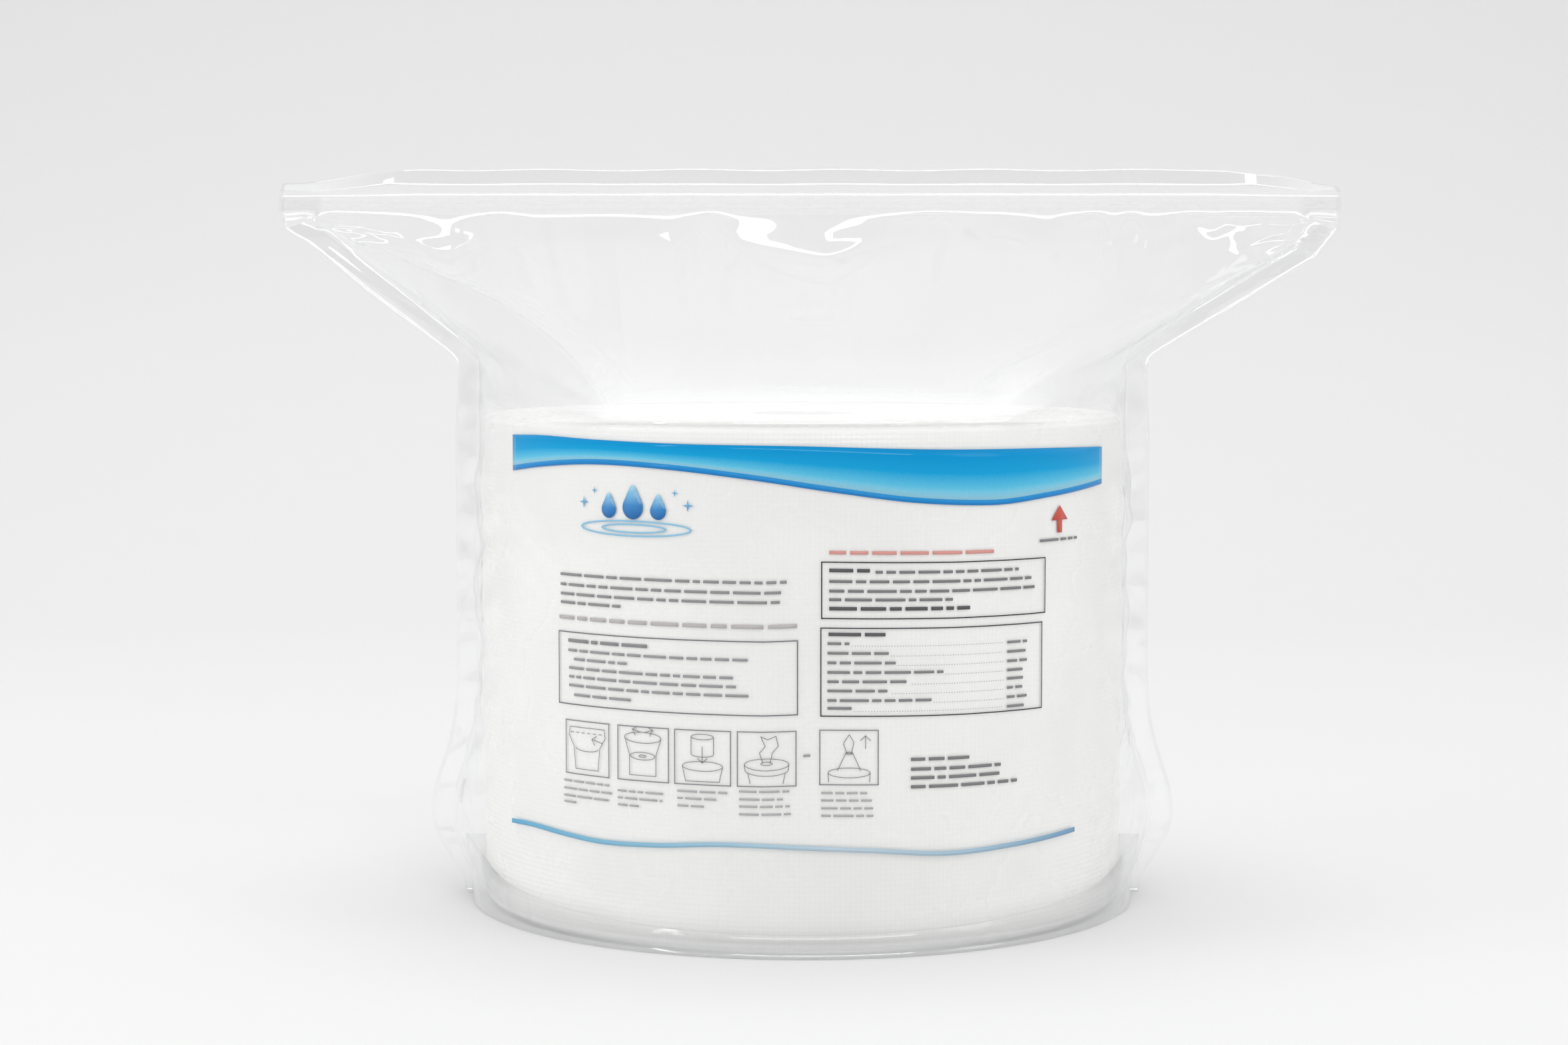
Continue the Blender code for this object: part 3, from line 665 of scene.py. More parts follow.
@dataclass
class FilmPanel:
    """One panel of the pouch as a fine sheet, from the floor to the top of the header."""

    shape: PouchShape
    side: Side
    columns: int = 176
    seal_columns: int = 4
    body_rows: int = 74
    seed: int = 4
    creases: tuple[Crease, ...] = ()
    wave_height: float = 0.15 * MM
    header_wave: float = 0.12 * MM
    crumple_waves: int = 9
    crumple_share: float = 0.010
    slack_crumple: float = 0.7
    shoulder_crumple: float = 0.10
    fin_foot_share: float = 0.30
    fin_round_height: float = 24 * MM
    # How white the film is at its seals, with painted light: a painted reflection where it drapes
    # over the roll, and a foot seal partly painted whiter
    painted_reflection: float = 0.58
    side_seal: float = 0.08
    header_seal: float = 0.03
    zip_end_seals: tuple[float, float] = (0.12, 0.08)
    foot_seal_and_painted_light: float = 0.62

    def __post_init__(self) -> None:
        """Work out the sheet's points."""
        self.shares = np.linspace(-1, 1, self.columns + 1)
        self.levels = np.linspace(self.shape.film / 2, self.shape.rim, self.body_rows)
        self.points = self.folded_rows()
        self.points += self.normals() * self.relief()[..., None]
        self.bend_header()
        self.round_fins()
        if self.side is Side.BACK:
            self.points[..., 1] *= -1

    def by_column(self, values: np.ndarray) -> np.ndarray:
        """Give a value for each column, where the side seals' columns have their neighbour's."""
        return np.pad(values, self.seal_columns, mode="edge")[None, :]

    def with_seals(self, line: np.ndarray, droop: float = 0.0) -> np.ndarray:
        """Add the side seals' columns to both ends of a row of points."""
        steps = np.linspace(0, 1, self.seal_columns + 1)[1:] * self.shape.seal_width
        left, right = (
            [end + np.array([way * s * math.cos(droop), 0, -s * math.sin(droop)]) for s in steps]
            for way, end in ((-1, line[0]), (1, line[-1]))
        )
        return np.array([*left[::-1], *line, *right])

    def folded_rows(self) -> np.ndarray:
        """Give the sheet as rows of points, with its main folds a little rounded."""
        s, shape = self.shares, self.shape
        rows = [
            self.with_seals(shape.outline(s, np.full_like(s, z), shape.pucker(s, z)))
            for z in self.levels
        ]
        deep, thin = shape.zip_half_depth, shape.seam_half_gap
        quarter = shape.zip_top + (shape.pouch_top - shape.zip_top) / 4
        kink_droop, ridge_droop, lip_droop = shape.droops
        # Each line up the sheet that the film turns at, and the number of rows up to it
        turns = [
            (self.with_seals(shape.kink_line(s), kink_droop), 9),
            (self.with_seals(shape.ridge_line(s), ridge_droop), 12),
            (self.with_seals(shape.lip_row(s, self.side), lip_droop), 44),
            (self.with_seals(shape.flat_row(s, deep, shape.zip_bottom)), 7),
            (self.with_seals(shape.flat_row(s, deep, shape.zip_top)), 4),
            (self.with_seals(shape.flat_row(s, thin, quarter)), 3),
            (self.with_seals(shape.flat_row(s, thin, shape.pouch_top)), 5),
        ]
        marks = []
        low = rows[-1]
        for high, count in turns:
            for step in range(1, count + 1):
                even = step / count
                eased = (1 - math.cos(math.pi * even)) / 2
                share = 0.25 * even + 0.75 * eased if count > 9 else even
                rows.append(low + (high - low) * share)
            marks.append(len(rows) - 1)
            low = high
        self.kink_row, self.ridge_row, self.lip_row, self.zip_row, self.zip_top_row = marks[:5]
        points = np.array(rows)
        slope = np.zeros((len(rows), 1))
        span = np.arange(self.ridge_row, self.lip_row + 1)
        slope[span, 0] = np.sin(math.pi * (span - span[0]) / (span[-1] - span[0]))
        sag = shape.shoulder_sag * slope * self.by_column(shape.from_seal(s))
        points[..., 2] -= sag
        points[..., 1] += np.where(points[..., 1] < -0.004, 0.4 * sag, 0.0)
        first, last = self.body_rows - 2, self.zip_row - 1
        for _ in range(2):
            inner = points[first:last]
            before, after = points[first - 1:last - 1], points[first + 1:last + 1]
            points[first:last] = 0.5 * inner + 0.25 * (before + after)
        return points

    def normals(self) -> np.ndarray:
        """Give the unit normals of the sheet, which point out of the pouch's front."""
        normals = np.cross(np.gradient(self.points, axis=1), np.gradient(self.points, axis=0))
        return normals / np.maximum(np.linalg.norm(normals, axis=-1, keepdims=True), 1e-12)

    def relief(self) -> np.ndarray:
        """Give how far the small folds lift each point off the smooth sheet, below the zip."""
        x, z = self.points[..., 0], self.points[..., 2]
        height = np.zeros_like(x)
        for crease in self.creases:
            height += self.crease_height(crease, x, z)
        height += self.shoulder_waves()
        height += self.crumple()
        height += self.seal_ridge()
        height[self.zip_row - 2:] = 0.0
        return height

    @staticmethod
    def crease_height(crease: Crease, x: np.ndarray, z: np.ndarray) -> np.ndarray:
        """Give one crease's height over the sheet, faded at its ends."""
        start, end = np.array(crease.start), np.array(crease.end)
        run = end - start
        length = float(np.hypot(*run))
        along = ((x - start[0]) * run[0] + (z - start[1]) * run[1]) / length
        off = ((x - start[0]) * run[1] - (z - start[1]) * run[0]) / length
        ends = 0.35 * length
        fade = smooth_step(along / ends) * smooth_step((length - along) / ends)
        return crease.height * fade * bump(off, crease.width)

    def shoulder_waves(self) -> np.ndarray:
        """Give the slow level waves of the sloping front between the rim and the zip."""
        index = np.arange(len(self.points))[:, None]
        up = (index - self.ridge_row) / (self.lip_row - self.ridge_row)
        on = smooth_step(up / 0.12) * smooth_step((1 - up) / 0.12)
        sway = 0.35 * np.sin(2 * math.pi * self.points[..., 0] / 0.21 + 0.6)
        wave = np.sin(2 * math.pi * (2.6 * up + sway))
        wave = wave + 0.5 * np.sin(2 * math.pi * (4.3 * up - 0.8 * sway))
        return self.wave_height * wave * on * self.by_column(self.shape.from_seal(self.shares))

    def crumple(self) -> np.ndarray:
        """Give small sharp ridges in the slack film: the ears, the shoulder and the sides."""
        draw = random.Random(self.seed)
        x, y, z = (self.points[..., i] for i in range(3))
        height = np.zeros_like(x)
        for _ in range(self.crumple_waves):
            heading = draw.uniform(0, math.pi)
            length = draw.uniform(0.018, 0.050)
            phase = draw.uniform(0, 2 * math.pi)
            bend = draw.uniform(-0.6, 0.6)
            place = x * math.cos(heading) + (z - 0.5 * y) * math.sin(heading)
            curve = bend * np.sin(2 * math.pi * z / 0.09)
            wave = np.sin(2 * math.pi * place / length + phase + curve)
            height += length * (1 - np.abs(wave)) ** 3 * self.crumple_share
        along = np.abs(self.shares) * self.shape.half
        slack = self.by_column(smooth_step((along - self.shape.pucker_start) / 0.02))
        above_kink = np.arange(len(height))[:, None] - self.kink_row
        shoulder = smooth_step(above_kink / 10) * self.shoulder_crumple
        return height * np.maximum(slack * self.slack_crumple, shoulder)

    def seal_ridge(self) -> np.ndarray:
        """Give the small step along the curved seal at the foot."""
        seal = self.by_column(self.shape.seal_height(self.shares))
        return 0.5 * MM * bump(self.points[..., 2] - seal, 1.4 * MM)

    def bend_header(self) -> None:
        """Bend the header above the zip: slow waves along its edge and curled ends."""
        x, shape = self.points[..., 0], self.shape
        up = (self.points[..., 2] - shape.zip_top) / (shape.pouch_top - shape.zip_top)
        up = np.clip(up, 0, 1)
        wave = np.sin(2 * math.pi * x / 0.083 + 0.5) + 0.25 * np.sin(2 * math.pi * x / 0.031)
        left = smooth_step((-0.118 - x) / 0.05)
        right = smooth_step((x - 0.128) / 0.05)
        shift = self.header_wave * wave * up + 7 * MM * up * (left + right)
        self.points[..., 1] += self.side.value * shift
        self.points[..., 2] -= (5 * MM * left + 6 * MM * right) * up
        self.points[..., 2] += 0.25 * MM * np.sin(2 * math.pi * x / 0.047) * up

    def round_fins(self) -> None:
        """Narrow the side seals toward the floor, where their corners are rounded off."""
        seals, narrow = self.seal_columns, self.fin_foot_share
        for inner, outer in ((seals, range(seals)), (-seals - 1, range(-seals, 0))):
            start = self.points[:, inner].copy()
            keep = narrow + (1 - narrow) * smooth_step(start[:, 2] / self.fin_round_height)
            for column in outer:
                reach = self.points[:, column, :2] - start[:, :2]
                self.points[:, column, :2] = start[:, :2] + reach * keep[:, None]

    def seal_and_painted_light_mask(self) -> np.ndarray:
        """Give the whitening at the welds, plus painted light: a painted reflection where the
        sheet drapes over the roll, and a foot seal painted whiter toward the front.
        """
        across, up = np.abs(self.points[..., 0]), self.points[..., 2]
        # Painted reflection: the sloping film just above the roll's rim is whitened to stand in
        # for the light it mirrors from above
        painted_reflection = smooth_step((0.184 - up) / 0.026)
        painted_reflection = painted_reflection * smooth_step((up - self.shape.rim - 0.005) / 0.004)
        mask = self.painted_reflection * painted_reflection ** 1.5 * smooth_step((0.090 - across) / 0.030)
        seals = self.seal_columns
        zip_rows = slice(self.zip_row - 2, self.zip_top_row + 3)
        mask[:, :seals + 1] = mask[:, -seals - 1:] = self.side_seal
        mask[self.zip_top_row + 2:] = self.header_seal
        mask[zip_rows, :seals + 3], mask[zip_rows, -seals - 3:] = self.zip_end_seals
        seal = self.by_column(self.shape.seal_height(self.shares))
        # The foot's seal is whitened, most at the front and fading to the sides: partly the seal's
        # own haze, partly painted light that lifts the shade near the floor
        below = np.clip(1 - self.levels[:, None] / seal, 0, 1)
        fade = (self.shape.seal_front / seal) ** 2.5
        milky = 0.05 + self.foot_seal_and_painted_light * smooth_step((below - 0.12) * 1.8) * fade
        mask[:self.body_rows] = np.where(below > 0, milky, mask[:self.body_rows])
        return mask

    def surface(self, along: float, z: float, lift: float) -> np.ndarray:
        """Give a point at a lift off the upright film, by its place along it and its level."""
        share = along / float(self.shape.length(np.array(min(z, self.shape.rim))))
        column = (share + 1) / 2 * self.columns + self.seal_columns
        upright = self.points[:self.kink_row + 1, int(round(column)), 2]
        row = float(np.interp(z, upright, np.arange(len(upright))))
        i, j = min(int(row), self.kink_row - 1), int(column)
        p, q = row - i, column - j
        patch = self.points[i:i + 2, j:j + 2]
        low = patch[0, 0] * (1 - q) + patch[0, 1] * q
        high = patch[1, 0] * (1 - q) + patch[1, 1] * q
        out = np.cross(patch[0, 1] - patch[0, 0], patch[1, 0] - patch[0, 0])
        out /= np.linalg.norm(out)
        return low * (1 - p) + high * p + out * lift

    def build(self) -> bpy.types.Object:
        """Build the panel's closed sheet."""
        rows, columns = self.points.shape[:2]
        index = np.arange(rows * columns).reshape(rows, columns)
        corners = [index[:-1, :-1], index[:-1, 1:], index[1:, 1:], index[1:, :-1]]
        faces = np.stack(corners, axis=-1).reshape(-1, 4)
        if self.side is Side.BACK:
            faces = faces[:, ::-1]
        name = f"{self.side.name.lower()}_film"
        mesh = bpy.data.meshes.new(name)
        mesh.from_pydata(self.points.reshape(-1, 3).tolist(), [], faces.tolist())
        layer = mesh.attributes.new("seal", "FLOAT", "POINT")
        layer.data.foreach_set("value", self.seal_and_painted_light_mask().astype(np.float32).ravel())
        mesh.shade_smooth()
        piece = mesh_object(name, mesh)
        thicken(piece, self.shape.shown_film, 0.0)
        return piece


@dataclass
class FilmFloor:
    """The pouch's floor: a sheet folded up inside both panels and sealed on a curve."""

    shape: PouchShape
    columns: int = 176
    inset: float = 1.6 * MM
    fold: float = 0.8 * MM

    def ring(self, share: np.ndarray) -> np.ndarray:
        """Give the sections of the floor's front half, from the sealed edge to the middle."""
        shape = self.shape
        top = shape.seal_height(share)
        outer = shape.film_radius(top) - self.inset
        beside = np.full_like(share, shape.roll_radius + shape.film / 2 + 0.5 * MM)
        corner = np.minimum(shape.roll_bottom + shape.roll_edge + shape.film, top - self.fold)
        under = np.full_like(share, shape.roll_radius - shape.roll_edge / 3)
        low = np.full_like(share, shape.film / 2)
        crinkle = 0.5 * MM * np.sin(2 * math.pi * share * shape.half / 0.013)
        section = [
            (np.full_like(share, float(shape.film_radius(np.array(0.0))) - self.inset), low),
            (outer, top - shape.film),
            (outer - self.fold / 2, top + shape.film),
            (outer - self.fold, top - shape.film),
            ((outer + beside) / 2, (top + corner) / 2 + 0.3 * crinkle),
            (beside, corner),
            *((under * part, low) for part in (1.0, 0.66, 0.33)),
        ]
        return np.array([shape.wrap(share, reach, shape.tip_angle(z), z) for reach, z in section])

    def build(self) -> bpy.types.Object:
        """Build the floor's closed sheet."""
        share = np.linspace(-1, 1, self.columns + 1)
        front = self.ring(share)
        back = front[:, ::-1][:, 1:-1] * np.array([1, -1, 1])
        rings = np.concatenate([front, back], axis=1)
        mesh = bmesh.new()
        grid = [[mesh.verts.new(point) for point in row] for row in rings]
        middle = mesh.verts.new((0, 0, self.shape.film / 2))
        count = rings.shape[1]
        for one, other in zip(grid, grid[1:]):
            for i in range(count):
                mesh.faces.new((one[i], one[(i + 1) % count], other[(i + 1) % count], other[i]))
        for i in range(count):
            mesh.faces.new((grid[-1][i], grid[-1][(i + 1) % count], middle))
        bmesh.ops.recalc_face_normals(mesh, faces=mesh.faces[:])
        data = bpy.data.meshes.new("floor_film")
        mesh.to_mesh(data)
        mesh.free()
        data.shade_smooth()
        piece = mesh_object("floor_film", data)
        thicken(piece, self.shape.shown_film, 0.0)
        return piece


# The roll


@dataclass
class WipesRoll:
    """The wound roll: a smooth wrapped side, a bore, and the edges of its turns on both ends."""

    shape: PouchShape
    bore_radius: float = 16 * MM
    segments: int = 180
    ring_step: float = 1.25 * MM
    relief: float = 0.25 * MM
    turn_pitch: float = 10 * MM
    fine_relief: float = 0.05 * MM
    fine_pitch: float = 2.5 * MM
    side_cuts: int = 22
    top_round: float = 2 * MM
    foot_round: float = 4 * MM
    wipe_step: float = 0.25 * MM
    snug: float = 0.55 * MM
    wipe_end: float = math.radians(118)

    def build(self) -> bpy.types.Object:
        """Model the roll from a cylinder."""
        shape = self.shape
        height = shape.roll_top - shape.roll_bottom
        deselect_all()
        bpy.ops.mesh.primitive_cylinder_add(
            vertices=self.segments, radius=shape.roll_radius, depth=height,
            location=(0, 0, shape.roll_bottom + height / 2), end_fill_type="NGON",
        )
        piece = bpy.context.object
        piece.name = piece.data.name = "wound_roll"
        bpy.ops.object.transform_apply(location=True, rotation=True, scale=True)
        bpy.ops.object.mode_set(mode="EDIT")
        self.round_edge(piece, shape.roll_top, self.top_round, 4)
        self.round_edge(piece, shape.roll_bottom, self.foot_round, 8)
        select(piece, "EDGE", lambda e: abs(e.verts[0].co.z - e.verts[1].co.z) > 50 * MM)
        bpy.ops.mesh.subdivide(number_cuts=self.side_cuts)
        self.inset_end(piece, 1, self.top_round)
        self.inset_end(piece, -1, self.foot_round)
        self.open_bore(piece)
        bpy.ops.object.mode_set(mode="OBJECT")
        self.wind(piece.data)
        self.map_surface(piece.data)
        pick(piece)
        bpy.ops.object.shade_smooth_by_angle(angle=math.radians(50))
        return piece

    @staticmethod
    def round_edge(piece: bpy.types.Object, level: float, offset: float, segments: int) -> None:
        """Round the roll's outer edge at one level."""
        select(piece, "EDGE", lambda e: all(abs(v.co.z - level) < 1e-6 for v in e.verts))
        bpy.ops.mesh.bevel(offset=offset, segments=segments)

    def inset_end(self, piece: bpy.types.Object, way: int, rounding: float) -> None:
        """Cut rings into the end face that looks up or down, as far as the bore."""
        select(piece, "FACE", lambda f: len(f.verts) > 8 and f.normal.z * way > 0.9)
        reach = self.shape.roll_radius - rounding
        count = int((reach - self.bore_radius) / self.ring_step)
        for _ in range(count):
            bpy.ops.mesh.inset(thickness=self.ring_step)
        bpy.ops.mesh.inset(thickness=reach - self.bore_radius - count * self.ring_step)

    @staticmethod
    def open_bore(piece: bpy.types.Object) -> None:
        """Remove the two inner discs and join their rims with the bore's wall."""
        select(piece, "FACE", lambda f: len(f.verts) > 8)
        bpy.ops.mesh.delete(type="FACE")
        select(piece, "EDGE", lambda e: e.is_boundary)
        bpy.ops.mesh.bridge_edge_loops()

    def wind(self, mesh: bpy.types.Mesh) -> None:
        """Press the spiral of the turns into the ends and step the last turn's end."""
        points = np.zeros(len(mesh.vertices) * 3)
        mesh.vertices.foreach_get("co", points)
        points = points.reshape(-1, 3)
        shape = self.shape
        radius = np.hypot(points[:, 0], points[:, 1])
        angle = np.arctan2(points[:, 1], points[:, 0])
        inner = smooth_step((radius - self.bore_radius) / (3 * MM))
        outer = smooth_step((shape.roll_radius - self.foot_round - radius) / (3 * MM))
        turns = (radius - self.bore_radius) / self.turn_pitch - angle / (2 * math.pi)
        coarse = 0.5 - 0.5 * np.cos(2 * math.pi * turns)
        fine = 0.5 - 0.5 * np.cos(2 * math.pi * turns * self.turn_pitch / self.fine_pitch)
        uneven = 0.5 + 0.5 * np.sin(radius / (7.3 * MM)) * np.sin(radius / (2.9 * MM) + angle)
        depth = inner * outer * (self.relief * coarse * 0.6 + self.fine_relief * (fine + uneven))
        for level, way in ((shape.roll_top, -1), (shape.roll_bottom, 1)):
            at_end = np.abs(points[:, 2] - level) < 1e-5
            points[at_end, 2] += way * depth[at_end]
        share = ((angle - self.wipe_end) / (2 * math.pi)) % 1.0
        on_side = smooth_step((radius - 0.9 * shape.roll_radius) / (0.05 * shape.roll_radius))
        held = smooth_step((points[:, 2] - 0.021) / 0.006)
        held = held * smooth_step((shape.roll_top - points[:, 2]) / 0.004)
        swell = self.snug * on_side * held
        scale = 1 + (swell - self.wipe_step * share * on_side) / np.maximum(radius, 1 * MM)
        points[:, :2] *= scale[:, None]
        mesh.vertices.foreach_set("co", points.ravel())
        mesh.update()

    def map_surface(self, mesh: bpy.types.Mesh) -> None:
        """Lay the wipes' own map on the roll: metres round the side and up."""
        layer = mesh.uv_layers.new(name="surface")
        radius = self.shape.roll_radius
        for face in mesh.polygons:
            base = math.atan2(face.center.y, face.center.x)
            for loop in face.loop_indices:
                co = mesh.vertices[mesh.loops[loop].vertex_index].co
                angle = math.atan2(co.y, co.x)
                angle += 2 * math.pi * round((base - angle) / (2 * math.pi))
                across = radius - math.hypot(co.x, co.y)
                layer.data[loop].uv = (angle * radius, co.z + across)


# The print


@dataclass(frozen=True)
class Block:
    """Lines of small print in one tone, drawn as rows of plain bars.

    Each row is its left end, its right end and its level, in millimetres on the film.
    """

    name: str
    rows: tuple[tuple[float, float, float], ...]
    cap: float
    tone: str
    weight: float = 1.0


class PrintedField:
    """One printed colour: flat shapes drawn along the film, then laid on it."""

    # How far to each side the print's map runs
    REACH = 0.11
    # How much higher than drawn the slack film carries the small print, by place along it
    SLACK = (
        (-0.085, 0.00095), (-0.012, 0.00085), (0.005, 0.0016), (0.046, 0.0007), (0.075, 0.0004),
    )

    def __init__(
        self, name: str, panel: FilmPanel, step: float = 2.5 * MM, slack: bool = True
    ) -> None:
        """Start an empty field on a panel.

        Args:
            name: The piece's name.
            panel: The panel that carries the print.
            step: The longest edge that still follows the film.
            slack: Whether the field's levels still need the film's slack added.
        """
        self.name = name
        self.panel = panel
        self.step = step
        self.slack = slack
        self.points: Line = []
        self.charts: Line = []
        self.faces: list[list[int]] = []

    def spot(self, along: float, z: float, share: float = 0.5) -> int:
        """Add a point of the field and give its number."""
        if self.slack:
            z += float(np.interp(along, *zip(*self.SLACK)))
        self.points.append((along, z))
        self.charts.append(((along + self.REACH) / (2 * self.REACH), share))
        return len(self.points) - 1

    def ribbon(
        self, left: float, right: float, low: Callable[[float], float],
        high: Callable[[float], float], rises: int = 1,
    ) -> None:
        """Draw a field between two curves, in one or more rows of faces."""
        count = max(1, math.ceil((right - left) / self.step))
        grid = []
        for j in range(rises + 1):
            row = []
            for i in range(count + 1):
                along = left + (right - left) * i / count
                z = low(along) + (high(along) - low(along)) * j / rises
                row.append(self.spot(along, z, j / rises))
            grid.append(row)
        for lower, upper in zip(grid, grid[1:]):
            for i in range(count):
                self.faces.append([lower[i], lower[i + 1], upper[i + 1], upper[i]])

    def bar(self, left: float, right: float, low: float, high: float) -> None:
        """Draw an upright rectangle."""
        self.ribbon(left, right, lambda _: low, lambda _: high)

    def blob(self, outline: Line) -> None:
        """Draw a small filled shape from its outline, which runs anticlockwise."""
        levels = [z for _, z in outline]
        low, height = min(levels), max(max(levels) - min(levels), 1e-6)
        count = len(outline)
        centre = (sum(a for a, _ in outline) / count, sum(levels) / count)
        middle = self.spot(*centre, (centre[1] - low) / height)
        ring = [self.spot(a, z, (z - low) / height) for a, z in outline]
        for i, number in enumerate(ring):
            self.faces.append([middle, number, ring[(i + 1) % count]])

    def stroke(self, line: Line, width: float, closed: bool = False) -> None:
        """Draw a line of even width along some points, and back to the first if it is closed."""
        path = np.array(self.finer(line, closed))
        if closed:
            before, after = np.roll(path, 1, axis=0), np.roll(path, -1, axis=0)
        else:
            before = np.vstack([2 * path[0] - path[1], path[:-1]])
            after = np.vstack([path[1:], 2 * path[-1] - path[-2]])
        one, two = path - before, after - path
        one /= np.linalg.norm(one, axis=1, keepdims=True)
        two /= np.linalg.norm(two, axis=1, keepdims=True)
        across = one + two
        across /= np.maximum(np.linalg.norm(across, axis=1, keepdims=True), 1e-9)
        across = np.stack([-across[:, 1], across[:, 0]], axis=1)
        square = np.stack([-one[:, 1], one[:, 0]], axis=1)
        reach = width / 2 / np.maximum((across * square).sum(axis=1), 0.5)
        left = [self.spot(*p) for p in path + across * reach[:, None]]
        right = [self.spot(*p) for p in path - across * reach[:, None]]
        for i in range(len(path) if closed else len(path) - 1):
            j = (i + 1) % len(path)
            self.faces.append([right[i], right[j], left[j], left[i]])

    def finer(self, line: Line, closed: bool) -> Line:
        """Add points to a line so that no stretch is longer than the field's step."""
        ends = [*line, line[0]] if closed else list(line)
        path = []
        for (a, b), (c, d) in zip(ends, ends[1:]):
            count = max(1, math.ceil(math.hypot(c - a, d - b) / self.step))
            path += [(a + (c - a) * i / count, b + (d - b) * i / count) for i in range(count)]
        return path if closed else path + [ends[-1]]

    def build(self, lift: float, thickness: float = 0.04 * MM) -> bpy.types.Object:
        """Lay the field as a thin closed layer at a lift off the middle of the film."""
        mesh = bpy.data.meshes.new(self.name)
        places = [self.panel.surface(a, z, lift).tolist() for a, z in self.points]
        mesh.from_pydata(places, [], self.faces)
        layer = mesh.uv_layers.new(name="print")
        for loop in mesh.loops:
            layer.data[loop.index].uv = self.charts[loop.vertex_index]
        mesh.shade_smooth()
        piece = mesh_object(self.name, mesh)
        thicken(piece, thickness, 1.0)
        return piece


@dataclass
class Artwork:
    """All the print on the front: band, lower line, arrow, small print, pictures and emblem."""

    panel: FilmPanel
    band_ends: tuple[float, float] = (-106.5 * MM, 112.5 * MM)
    line_ends: tuple[float, float] = (-107.0 * MM, 95.4 * MM)
    # The upper and lower edges of the band and the middle of the lower line: place along
    # the film and level, in millimetres
    band_top: tuple[tuple[float, float], ...] = (
        (-107, 150.5), (-90, 151.0), (-67, 150.5), (-39, 149.9),
        (0, 149.5), (40, 148.2), (80, 147.5),
        (113, 146.6),
    )
    band_low: tuple[tuple[float, float], ...] = (
        (-107, 139.5), (-91, 141.4), (-67, 143.1), (-40, 142.2),
        (-15, 139.6), (10, 135.9), (32, 132.9),
        (49, 131.7), (60, 131.4), (80, 132.7), (112, 135.2),
    )
    line_middle: tuple[tuple[float, float], ...] = (
        (-107, 32.2), (-95, 32.5), (-80, 31.8), (-65, 31.0), (-45, 31.6), (-25, 32.9), (0, 32.4),
        (20, 31.3), (43, 29.4), (67, 29.9), (96, 31.1),
    )
    edge_width: float = 1.6 * MM
    line_width: float = 1.4 * MM
    arrow_along: float = 86.7 * MM
    arrow_tip: float = 129.7 * MM
    picture_low: float = 49.4 * MM
    picture_size: tuple[float, float] = (17.2 * MM, 16 * MM)
    picture_lefts: tuple[float, ...] = (-0.0785, -0.0580, -0.0388, -0.0196, 0.0045)
    lift: float = 0.10 * MM

    @staticmethod
    def curve(points: tuple[tuple[float, float], ...]) -> Callable[[float], float]:
        """Turn an edge's points, in millimetres, into a smooth curve in metres."""
        xs, zs = (np.array(values) * MM for values in zip(*points))
        slopes = np.gradient(zs, xs)

        def level(along: float) -> float:
            i = int(np.clip(np.searchsorted(xs, along) - 1, 0, len(xs) - 2))
            span = xs[i + 1] - xs[i]
            t = (along - xs[i]) / span
            rise = (2 * t**3 - 3 * t**2 + 1) * zs[i] + (3 * t**2 - 2 * t**3) * zs[i + 1]
            lean = (t**3 - 2 * t**2 + t) * slopes[i] + (t**3 - t**2) * slopes[i + 1]
            return float(rise + span * lean)

        return level

    def lay(
        self, field: PrintedField, ink: str, tones: Stops | str, slot: Slot,
        nodes: Sequence[str] = (), **more: object,
    ) -> None:
        """Lay a field on the film in one tone, or in tones that run from its foot to its top."""
        upright = ((0.0, tones), (1.0, tones)) if isinstance(tones, str) else tones
        dress(field.build(self.lift), Ink(ink, upright, **more).material(), nodes)

    def build_band(self) -> None:
        """Print the blue band, its darker lower edge and the thin line near the foot."""
        foot, top = self.curve(self.band_low), self.curve(self.band_top)
        low = lambda a: foot(a) + self.edge_width
        band = PrintedField("blue_band", self.panel, slack=False)
        band.ribbon(*self.band_ends, low, top, rises=6)
        tones = ((0.0, "9AD2E6"), (0.22, "5CBEE0"), (0.52, "109FD6"), (1.0, "008ECC"))
        self.lay(band, "cyan_band_ink", tones, Slot.BLUE, ["blue_band_print"])
        edge = PrintedField("blue_band_edge", self.panel, slack=False)
        edge.ribbon(*self.band_ends, foot, low)
        tones = ((0.0, "1C7CC4"), (1.0, "2A92D2"))
        self.lay(edge, "deep_blue_edge_ink", tones, Slot.DEEP_BLUE, ["blue_band_edge_print"])
        line = PrintedField("lower_blue_line", self.panel, slack=False)
        middle, half = self.curve(self.line_middle), self.line_width / 2
        line.ribbon(*self.line_ends, lambda a: middle(a) - half, lambda a: middle(a) + half)
        sideways = (
            (0.0, "5FA9CF"), (0.30, "8DBBD2"), (0.55, "B9CBD8"),
            (0.75, "9FBCCF"), (1.0, "5C8DB6"),
        )
        nodes = ["blue_wave_print"]
        self.lay(line, "lower_line_ink", "FFFFFF", Slot.BLUE, nodes, sideways=sideways)

    def build_arrow(self) -> None:
        """Print the small red arrow that shows which end is up."""
        field = PrintedField("up_arrow", self.panel)
        middle, tip = self.arrow_along, self.arrow_tip
        head, half, stem, foot = 4.4 * MM, 4.0 * MM, 1.1 * MM, 8.2 * MM
        base = tip - head
        field.blob([(middle - half, base), (middle + half, base), (middle, tip)])
        field.bar(middle - stem, middle + stem, tip - foot, base + 0.2 * MM)
        tones = ((0.0, "C9564A"), (1.0, "CB5B50"))
        self.lay(field, "red_arrow_ink", tones, Slot.RED, ["up_arrow_print"])

